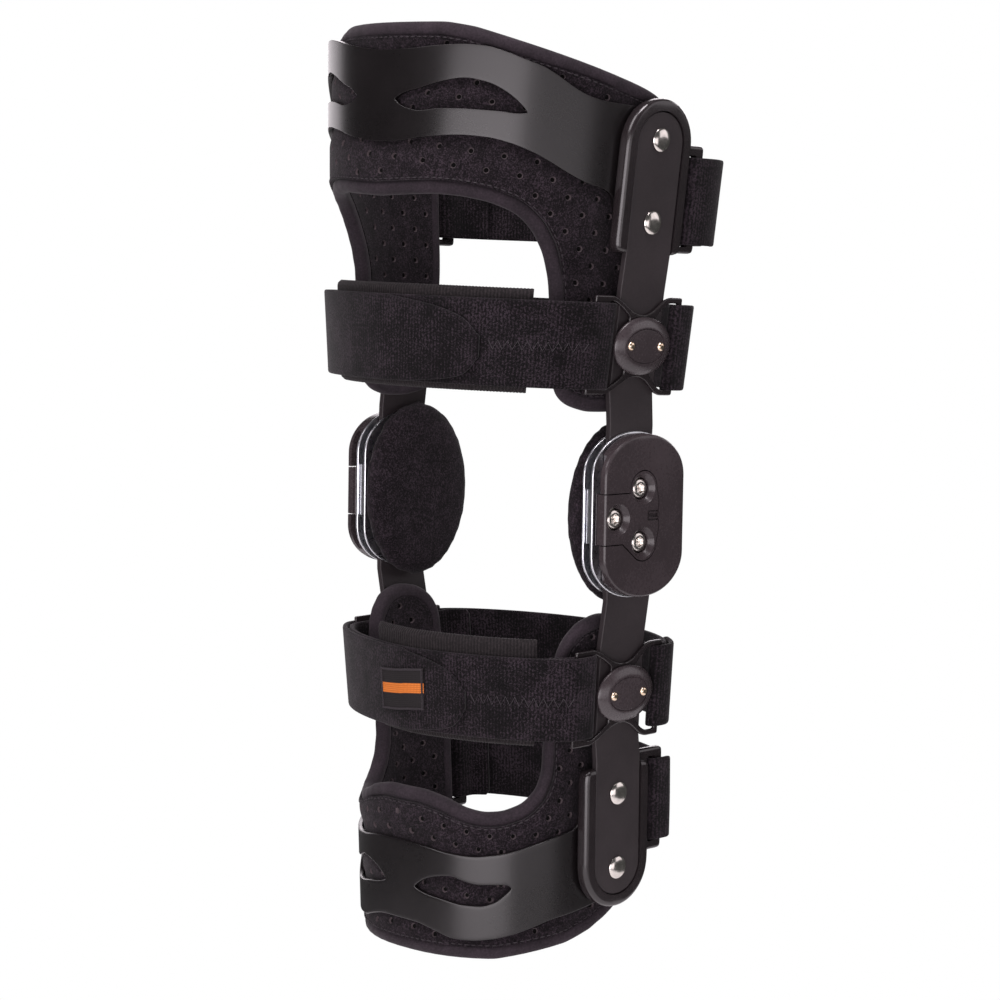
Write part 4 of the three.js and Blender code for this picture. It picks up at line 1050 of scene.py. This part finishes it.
size, high = hingeSizes, hingeSizes["high"]
cover, insert = (plate(name, [coverLoop(0)], size["low"], high, size["edge"]) for name in ("cover", "insert"))
combine(cover, plate("inset", [insertLoop(size["split"])], size["floor"] - size["split"], high + 2))
combine(cover, plate("slots", [box(*row) for row in size["slots"]], size["low"] - 1, size["slotTop"]))
combine(insert, plate("inset", [insertLoop(0)], size["floor"], high + 2), "INTERSECT")
for _, y, z in screwSizes["spots"]:
    combine(insert, lathe("recess", size["recess"], None, "thigh", 48, 1, 1, (y, z)))
y0, y1, z0, z1 = size["notch"]
fine = size["notchLine"]
frameLoops = [box(y0, y1, z0, z1), box(y0 + fine, y1 - fine, z0 + fine, z1 - fine)]
combine(insert, plate("notch", frameLoops, high - size["notchDeep"], high + 1, 0.02))
combine(insert, plate("slit", [box(*size["slit"])], high - size["slitDeep"], high + 1))
hingeModels = {"cover": (cover, "matt", "charcoal_plastic"), "insert": (insert, "matt", "charcoal_plastic")}
for kind, span in size["plates"].items():
    model = plate(kind, [coverLoop(size["grow"])], *span, size["plateEdge"])
    hingeModels[kind] = (model, "bright", "bright_steel")
model = plate("stop", [box(*size["stop"])], *size["stopX"], size["stopEdge"])
hingeModels["stop"] = (model, "bright", "bright_steel")

for side, sideName in sides:
    body = "hinge_" + sideName
    for kind, (model, material, slot) in hingeModels.items():
        name = "hinge" + kind.title().replace("_", "") + sideName.title()
        piece = stand(model, name, material, "heads", side)
        dress(evenShade(piece, 28), body, slot, ["hinge_" + kind + "_" + sideName])
    rows = [((side * screwSizes["low"], y, z), (side, 0, 0)) for _, y, z in screwSizes["spots"]]
    nodes = ["hinge_screw_" + name + "_" + sideName for name, *_ in screwSizes["spots"]]
    headsAt("hingeScrews" + sideName.title(), rows, screw, "nickel", "heads", body, "nickel", nodes)
discard(rivet, pinHead, screw, *(model for model, *_ in hingeModels.values()))

padSizes = {
    "y": 3.5, "half": 31.0, "tall": 42.0, "low": 62.2, "high": 73.8, "pleats": 34, "pleat": 0.4,
    "voxel": 3.2, "pressure": 4.0, "cap": 1.6, "steps": 20,
    "profile": [(73.4, 0.3), (73.4, 0.9), (73.0, 0.965), (72.2, 1.0), (69.8, 0.995), (67.4, 0.98), (65.2, 0.92),
                (63.6, 0.8), (62.8, 0.6), (62.5, 0.3)],
}


# cloth blown up from a plain pad; no point moves further than the cap
def puff(piece, size):
    modify(piece, "REMESH", mode="VOXEL", voxel_size=size["voxel"] * mm)
    settle(piece)
    rest = np.zeros(len(piece.data.vertices) * 3)
    piece.data.vertices.foreach_get("co", rest)
    cloth = modify(piece, "CLOTH")
    cloth.settings.use_pressure = True
    cloth.settings.uniform_pressure_force = size["pressure"]
    cloth.settings.effector_weights.gravity = 0
    cloth.settings.quality = 5
    for step in range(1, size["steps"] + 1):
        bpy.context.scene.frame_set(step)
    settle(piece)
    bpy.context.scene.frame_set(1)
    moved = np.zeros_like(rest)
    piece.data.vertices.foreach_get("co", moved)
    change = (moved - rest).reshape(-1, 3)
    far = np.linalg.norm(change, axis=1)[:, None]
    change *= np.minimum(1, size["cap"] * mm / np.maximum(far, 1e-9))
    return rest.reshape(-1, 3) + change


for side, sideName in sides:
    half, tall, middle = padSizes["half"], padSizes["tall"], padSizes["y"]
    pad = lathe("condylePad" + sideName.title(), padSizes["profile"], "felt", "thigh", 64, half, tall,
                (middle, 0), side=side)
    points = puff(pad, padSizes) / mm
    y, z = points[:, 1] - middle, points[:, 2]
    pleat = padSizes["pleat"] * np.sin(np.arctan2(z / tall, y / half) * padSizes["pleats"])
    pleat = 1 + pleat / tall * smoothStep(0.8, 1.0, np.hypot(y / half, z / tall))
    points[:, 0] = side * np.clip(abs(points[:, 0]), padSizes["low"], padSizes["high"])
    points[:, 1], points[:, 2] = middle + y * pleat, z * pleat
    pad.data.vertices.foreach_set("co", (points * mm).ravel())
    pad.data.transform(place["heads"])
    pad.data.polygons.foreach_set("use_smooth", [True] * len(pad.data.polygons))
    modify(pad, "SUBSURF", levels=1, render_levels=1)
    settle(pad)
    dress(pad, "hinge_" + sideName, "liner_felt", ["condyle_pad_" + sideName])
print("hinges made")


# straps folded round clips and loops, with tabs, pads, seams and a plain patch

frontFold = {"y": 21.4, "centre": 30.0, "inner": -1.2, "outer": 3.6}
backFold = {"y": 21.2, "centre": 25.3, "inner": -1.2, "outer": 3.6}
slotFold = {"y": 26.3, "centre": 31.2, "inner": -8.2, "outer": -0.6}
strapSizes = {
    "thigh_front_strap": {"cuff": "thigh", "way": -1, "fold": frontFold, "low": 55.5, "high": 94, "depth": 48,
                          "power": 1.14, "tab": 39.5},
    "thigh_lower_back_strap": {"cuff": "thigh", "way": 1, "fold": backFold, "low": 55.5, "high": 94, "depth": 31,
                               "power": 1.25, "tab": 42},
    "thigh_upper_back_strap": {"cuff": "thigh", "way": 1, "fold": slotFold, "low": 121, "high": 160, "depth": 38,
                               "power": 1.0, "tab": 48},
    "calf_front_strap": {"cuff": "calf", "way": -1, "fold": frontFold, "low": -99.6, "high": -61.9, "depth": 31,
                         "power": 1.25, "tab": 30.5},
    "calf_upper_back_strap": {"cuff": "calf", "way": 1, "fold": backFold, "low": -99.6, "high": -61.9, "depth": 29,
                              "power": 1.25, "tab": 42},
    "calf_lower_back_strap": {"cuff": "calf", "way": 1, "fold": slotFold, "low": -153.5, "high": -115.5, "depth": 22,
                              "power": 1.25, "tab": 78},
}
bandSizes = {
    "thick": 2.4, "step": 2.8, "edge": 1.1, "pace": 1.5, "rows": 17, "tuck": 66, "start": 2.0, "rim": 0.35,
    "sag": 0.1, "sagRun": 17.0, "sagRise": 23.0, "threadLift": 0.1,
    "tabEnd": [(0, 16.5, 12), (0.02, 13, 7.5), (0.047, 9, 4), (0.085, 6.2, 2.4), (0.14, 3.6, 1.2), (0.22, 1.6, 0.2),
               (0.31, 0, 0), (1, 0, 0)],  # share of the tab still to go, cut from the top, cut from below
}
hemSizes = {"start": 3.0, "stop": 2.4, "edge": 2.2}
zigzagSizes = {"pitch": 4.4, "rise": 2.0, "thick": 0.27, "from": 84.0, "past": 1.5, "off": 1.0}


def strapLine(strap):
    fold, way, power, depth = strap["fold"], strap["way"], strap["power"], strap["depth"]
    face = float(level(cuffs[strap["cuff"]]["bar"], (strap["low"] + strap["high"]) / 2))
    inner, outer = face + fold["inner"], face + fold["outer"]
    first = -way

    def arc(start, stop, halfStart, halfStop, deep, count):
        angle = np.radians(np.linspace(start, stop, count))
        half = np.linspace(halfStart, halfStop, count)
        x = half * np.sign(angle) * abs(np.sin(angle)) ** power
        return np.stack([x, way * (fold["centre"] + deep * abs(np.cos(angle)) ** power)], 1)

    def turnBack(sign):
        angle = np.linspace(0, np.pi, 15)[1:-1]
        middle, half = (inner + outer) / 2, (outer - inner) / 2
        return np.stack([sign * (middle - half * np.cos(angle)), way * (fold["y"] - half * np.sin(angle))], 1)

    parts = [arc(first * bandSizes["tuck"], first * 90, inner, inner, depth - bandSizes["step"], 12), turnBack(first),
             arc(first * 90, -first * 90, outer, inner, depth, 121), turnBack(-first),
             arc(-first * 90, strap["tab"], outer, outer, depth + bandSizes["step"], 90)]
    line = np.vstack(parts)
    ends = np.cumsum([len(part) for part in parts])
    run = runAlong(line)
    left = np.concatenate([np.ones(ends[3]), np.linspace(1, 0, len(parts[4]))])
    even, at = evenly(line, bandSizes["pace"])
    return {"line": even, "at": at, "left": np.interp(at, run, left), "tabStart": run[ends[3]],
            "band": run[ends[1]:ends[2]]}


def strapPoint(strap, x, y, z):
    cuff = strap["cuff"]
    middle = (strap["low"] + strap["high"]) / 2
    grown = slopeAt(cuff, middle) / float(level(cuffs[cuff]["bar"], middle)) * (z - middle)
    past = np.maximum(0, abs(y) - strap["fold"]["centre"])
    return np.stack([x * (1 + grown), y + np.sign(y) * past * grown, z], -1)


def makeStrap(node, strap, path):
    line, at = path["line"], path["at"]
    way = np.gradient(line, axis=0)
    way /= np.linalg.norm(way, axis=1)[:, None]
    path["normal"] = normal = np.stack([-way[:, 1], way[:, 0]], 1)
    turnIn = bandSizes["start"]
    start = turnIn - np.sqrt((turnIn ** 2 - (turnIn - np.minimum(at, turnIn)) ** 2).clip(0))
    path["high"] = high = strap["high"] - eased(bandSizes["tabEnd"], path["left"], 1) - start
    path["low"] = low = strap["low"] + eased(bandSizes["tabEnd"], path["left"], 2) + start
    edge, rows = bandSizes["edge"], bandSizes["rows"]
    tall = (high - low)[:, None]
    rim = np.array([0, 0.1, 0.4, 1]) * edge
    between = edge + (tall - 2 * edge) * np.linspace(0, 1, rows - 6)[1:-1]
    lift = np.concatenate([np.tile(rim, (len(at), 1)), between, tall - rim[::-1]], 1)
    z = low[:, None] + lift
    near = np.minimum(lift, tall - lift).clip(0, edge) / edge
    half = bandSizes["thick"] / 2 * (bandSizes["rim"] + (1 - bandSizes["rim"]) * np.sqrt(1 - (1 - near) ** 2))
    sag = bandSizes["sag"] * np.sin(at[:, None] / bandSizes["sagRun"] + z / bandSizes["sagRise"])
    walls = []
    for sign in (1, -1):
        spot = line[:, None, :] + normal[:, None, :] * (sign * half + sag)[..., None]
        walls.append(strapPoint(strap, spot[..., 0], spot[..., 1], z))
    rows = z.shape[1]
    ring = np.concatenate([walls[0], walls[1][:, ::-1]], 1)
    faces, corners = gridFaces(len(at), 2 * rows, closeRows=True)
    mean = np.linspace(0, strap["high"] - strap["low"], rows)
    flat = flatOf(corners, at, np.concatenate([mean, mean[::-1], mean[:1]]))
    last = (len(at) - 1) * 2 * rows
    extra = []
    for k in range(rows - 1):
        cap = [k, k + 1, 2 * rows - 2 - k, 2 * rows - 1 - k]
        faces.append(cap[::-1])
        faces.append([c + last for c in cap])
        extra += [(at[0], mean[j]) for j in (k, k + 1, k + 1, k)][::-1]
        extra += [(at[-1], mean[j]) for j in (k, k + 1, k + 1, k)]
    flat = np.vstack([flat, np.array(extra)])
    name = node.title().replace("_", "")
    name = name[0].lower() + name[1:]
    piece = makePiece(name, ring.reshape(-1, 3), faces, "loop", strap["cuff"], flat, sharp=180, tidy=False)
    holder = "_bracket_" if strap["fold"] is slotFold else "_clip_"
    (strap["high"] - strap["low"]) * mm
    at[-1] * mm
    [strap["cuff"] + holder + sideName for _, sideName in sides]
    return dress(piece, strap["cuff"], "strap_loop", [node])


def strapThread(name, strap, path, rows, tree, material, **sizes):
    run, z = np.array(rows, float).T
    line, normal, at = path["line"], path["normal"], path["at"]
    third = len(at) // 3
    out = np.sign(np.sum(normal[third] * line[third])) * (bandSizes["thick"] / 2 + bandSizes["threadLift"])
    x = np.interp(run, at, line[:, 0]) + np.interp(run, at, normal[:, 0]) * out
    y = np.interp(run, at, line[:, 1]) + np.interp(run, at, normal[:, 1]) * out
    thread = lineMesh(name, strapPoint(strap, x, y, z), strap["cuff"])
    grow(thread, trees[tree], Material=look[material], **sizes)
    return dress(thread, strap["cuff"], "strap_loop")


for node, strap in strapSizes.items():
    path = strapLine(strap)
    makeStrap(node, strap, path)
    at, tag = path["at"], node.split("_strap")[0].title().replace("_", "")
    inTab = (at > path["tabStart"] + hemSizes["start"]) & (at < at[-1] - hemSizes["stop"])
    hem = [(a, high - hemSizes["edge"]) for a, high in zip(at[inTab], path["high"][inTab])]
    sole = [(a, low + hemSizes["edge"]) for a, low in zip(at[inTab], path["low"][inTab])]
    if len(hem) > 4:  # a short tab has no hem
        strapThread("tabHem" + tag, strap, path, hem + sole[::-1], "stitch", "thread", **stitchOf("hem"))
    if strap["way"] < 0:
        turns = np.linspace(90, -90, len(path["band"]))
        ends = zigzagSizes["from"], strap["tab"] + zigzagSizes["past"]
        start, stop = (np.interp(-turn, -turns, path["band"]) for turn in ends)
        runs = np.arange(start, stop, zigzagSizes["pitch"] / 2)
        middle = (strap["low"] + strap["high"]) / 2 - zigzagSizes["off"]
        rows = [(run, middle + zigzagSizes["rise"] * (-1) ** k) for k, run in enumerate(runs)]
        strapThread("zigzag" + tag, strap, path, rows, "cord", "paleThread", Thick=zigzagSizes["thick"] * mm)
print("straps made")

frontPadSizes = {
    "thigh": {"from": -56.0, "to": 60.0, "low": 53.0, "high": 98.7},
    "calf": {"from": -30.0, "to": 64.0, "low": -102.5, "high": -54.3},
    "thick": 5.0, "gap": 1.6, "edge": 3.0, "pitch": 1.6, "rib": 0.22,
}
patchSizes = {
    "from": -17.5, "to": 13.6, "low": -90.5, "high": -71.3, "rise": 2.8, "near": 4.4, "thick": 0.8, "edge": 0.5,
    "border": (0.015, 0.02, 0.03),  # shares left at the ends, beside and above
}


def onStrap(strap, turn, z, out):
    cuff = strap["cuff"]
    middle = (strap["low"] + strap["high"]) / 2
    face = float(level(cuffs[cuff]["bar"], middle))
    grown = 1 + slopeAt(cuff, middle) / face * (z - middle)
    angle, power = np.radians(turn), strap["power"]
    x = (face + strap["fold"]["inner"] + out) * np.sign(angle) * abs(np.sin(angle)) ** power
    y = -strap["fold"]["centre"] - grown * (strap["depth"] + out) * abs(np.cos(angle)) ** power
    return np.stack([grown * x, y, z], -1)


# a slab with soft edges lying on a front strap, between two distances from its middle
def softSlab(name, strap, size, counts, near, far, material):
    turns = np.linspace(size["from"], size["to"], counts[0])
    heights = np.linspace(size["low"], size["high"], counts[1])
    turn, z = np.meshgrid(turns, heights, indexing="ij")
    z = z + size.get("rise", 0) * np.linspace(-0.5, 0.5, counts[0])[:, None]
    along = onStrap(strap, turn[:, 0], z[:, 0] * 0 + heights.mean(), far)
    run = runAlong(along)
    inU = np.minimum(run, run[-1] - run)[:, None] / size["edge"]
    inV = np.minimum(heights - heights[0], heights[-1] - heights)[None, :] / size["edge"]
    crown = np.sqrt(1 - (1 - np.minimum(1, inU)) ** 2) * np.sqrt(1 - (1 - np.minimum(1, inV)) ** 2)
    half, centre = (far - near) / 2 * (0.25 + 0.75 * crown), (near + far) / 2
    points = np.concatenate([onStrap(strap, turn, z, centre + half).reshape(-1, 3),
                             onStrap(strap, turn, z, centre - half).reshape(-1, 3)])
    faces, corners = gridFaces(*counts)
    flat = flatOf(corners, run, heights - heights.mean())
    count, rows = turn.size, counts[1]
    faces += [[a + count for a in f[::-1]] for f in faces]
    flat = np.vstack([flat, flat.reshape(-1, 4, 2)[:, ::-1].reshape(-1, 2)])
    last = counts[0] - 1
    rim = [k * rows for k in range(counts[0])] + [last * rows + k for k in range(1, rows)]
    rim += [k * rows + rows - 1 for k in range(last - 1, -1, -1)] + list(range(rows - 2, 0, -1))
    extra = []
    for a, b in zip(rim, rim[1:] + rim[:1]):
        faces.append([b, a, a + count, b + count])
        extra += [(run[i // rows], heights[i % rows] - heights.mean()) for i in (b, a, a, b)]
    flat = np.vstack([flat, np.array(extra)])
    piece = makePiece(name, points, faces, material, strap["cuff"], flat, sharp=180, tidy=False)
    layer = piece.data.attributes.new("run", "FLOAT", "POINT")
    layer.data.foreach_set("value", np.tile(np.repeat(run, rows), 2) * mm)
    return piece, run[-1]


for cuffName in cuffs:
    size = {**frontPadSizes[cuffName], "edge": frontPadSizes["edge"]}
    far = -frontPadSizes["gap"]
    pad, _ = softSlab(cuffName + "FrontPad", strapSizes[cuffName + "_front_strap"], size, (320, 40),
                      far - frontPadSizes["thick"], far, "elastic")
    grow(pad, trees["rib"], Pitch=frontPadSizes["pitch"] * mm, Height=frontPadSizes["rib"] * mm,
         Material=look["elastic"])
    dress(pad, cuffName, "strap_loop", [cuffName + "_front_pad"])

strap = strapSizes["calf_front_strap"]
top = patchSizes["near"] + patchSizes["thick"]
patch, wide = softSlab("strapPatch", strap, patchSizes, (40, 34), patchSizes["near"], top, "woven")
dress(patch, "calf", "patch_weave", ["calf_strap_patch"])
end, beside, above = patchSizes["border"]
share = np.linspace(end, 1 - end, 40)
still = share * 0
u, v = np.concatenate([np.stack(pair, 1) for pair in (
    (share, still + above), (still + 1 - beside, share), (share[::-1], still + 1 - above),
    (still + beside, share[::-1]))]).T
turn = patchSizes["from"] + (patchSizes["to"] - patchSizes["from"]) * u
z = patchSizes["low"] + (patchSizes["high"] - patchSizes["low"]) * v + patchSizes["rise"] * (u - 0.5)
border = lineMesh("patchBorder", onStrap(strap, turn, z, top), "calf", True)
grow(border, trees["stitch"], Material=look["thread"], **stitchOf("border"))
dress(border, "calf", "patch_weave")
print("pads and patch made")


# camera at the photograph's angle, soft studio light and a pale floor

cameraSizes = {"azimuth": 47.0, "elevation": 4.0, "roll": 2.4, "distance": 1.5, "lens": 116.14, "shift": -0.008}
lightSizes = {  # azimuth, elevation, distance, width, height, watts
    "front": (30, -7, 1.6, 1.6, 0.95, 21),
    "key": (-5, 46, 1.6, 1.2, 1.0, 18),
    "side": (80, -7, 1.6, 1.25, 0.75, 4.2),
    "top": (60, 74, 1.5, 0.6, 0.6, 16),
    "left": (-104, 0, 1.5, 1.2, 0.7, 5),
    "right": (132, 24, 1.6, 1.2, 1.0, 4),
    "back": (218, 24, 1.7, 1.4, 1.0, 14),
}
lightColour = (1.0, 0.93, 0.97)
worldFill = 0.06
floorSizes = {"radius": 0.8, "z": -0.46, "sides": 72}


def towards(azimuth, elevation):
    a, e = math.radians(azimuth), math.radians(elevation)
    return Vector((math.sin(a) * math.cos(e), -math.cos(a) * math.cos(e), math.sin(e)))


back = towards(cameraSizes["azimuth"], cameraSizes["elevation"])
roll = math.radians(cameraSizes["roll"])
right = Vector((-back.y, back.x, 0)).normalized()
up = back.cross(right)
acrossWay = right * math.cos(roll) + up * math.sin(roll)
upWay = up * math.cos(roll) - right * math.sin(roll)
camera = bpy.data.objects.new("camera", bpy.data.cameras.new("camera"))
camera.data.sensor_width = 36
camera.data.lens = cameraSizes["lens"]
camera.data.shift_x = cameraSizes["shift"]
turned = Matrix((acrossWay, upWay, back)).transposed().to_4x4()
camera.matrix_world = Matrix.Translation(back * cameraSizes["distance"]) @ turned
bpy.context.scene.collection.objects.link(camera)
bpy.context.scene.camera = camera

for name, (azimuth, elevation, distance, wide, tall, watts) in lightSizes.items():
    lamp = bpy.data.objects.new(name, bpy.data.lights.new(name, "AREA"))
    lamp.data.shape = "RECTANGLE"
    lamp.data.size = wide
    lamp.data.size_y = tall
    lamp.data.energy = watts
    lamp.data.color = lightColour
    way = towards(azimuth, elevation)
    lamp.location = way * distance
    lamp.rotation_mode = "QUATERNION"
    lamp.rotation_quaternion = way.to_track_quat("Z", "Y")
    bpy.context.scene.collection.objects.link(lamp)

world = bpy.data.worlds.new("studio")
world.use_nodes = True
bpy.context.scene.world = world
seen = Graph(world.node_tree).node("ShaderNodeLightPath").other("Is Camera Ray")
sky = world.node_tree.nodes["Background"]
sky.inputs["Color"].default_value = (1, 1, 1, 1)
world.node_tree.links.new((seen * (1 - worldFill) + worldFill).socket, sky.inputs["Strength"])

floor = addObject("floor", bpy.data.meshes.new("floor"))
turns = [360 * k / floorSizes["sides"] for k in range(floorSizes["sides"])]
rim = [towards(turn, 0) * floorSizes["radius"] + Vector((0, 0, floorSizes["z"])) for turn in turns]
floor.data.from_pydata(rim, [], [list(range(len(rim)))])
floor.data.materials.append(look["floor"])
bpy.context.scene.view_settings.view_transform = "Standard"
print("camera and lights set")
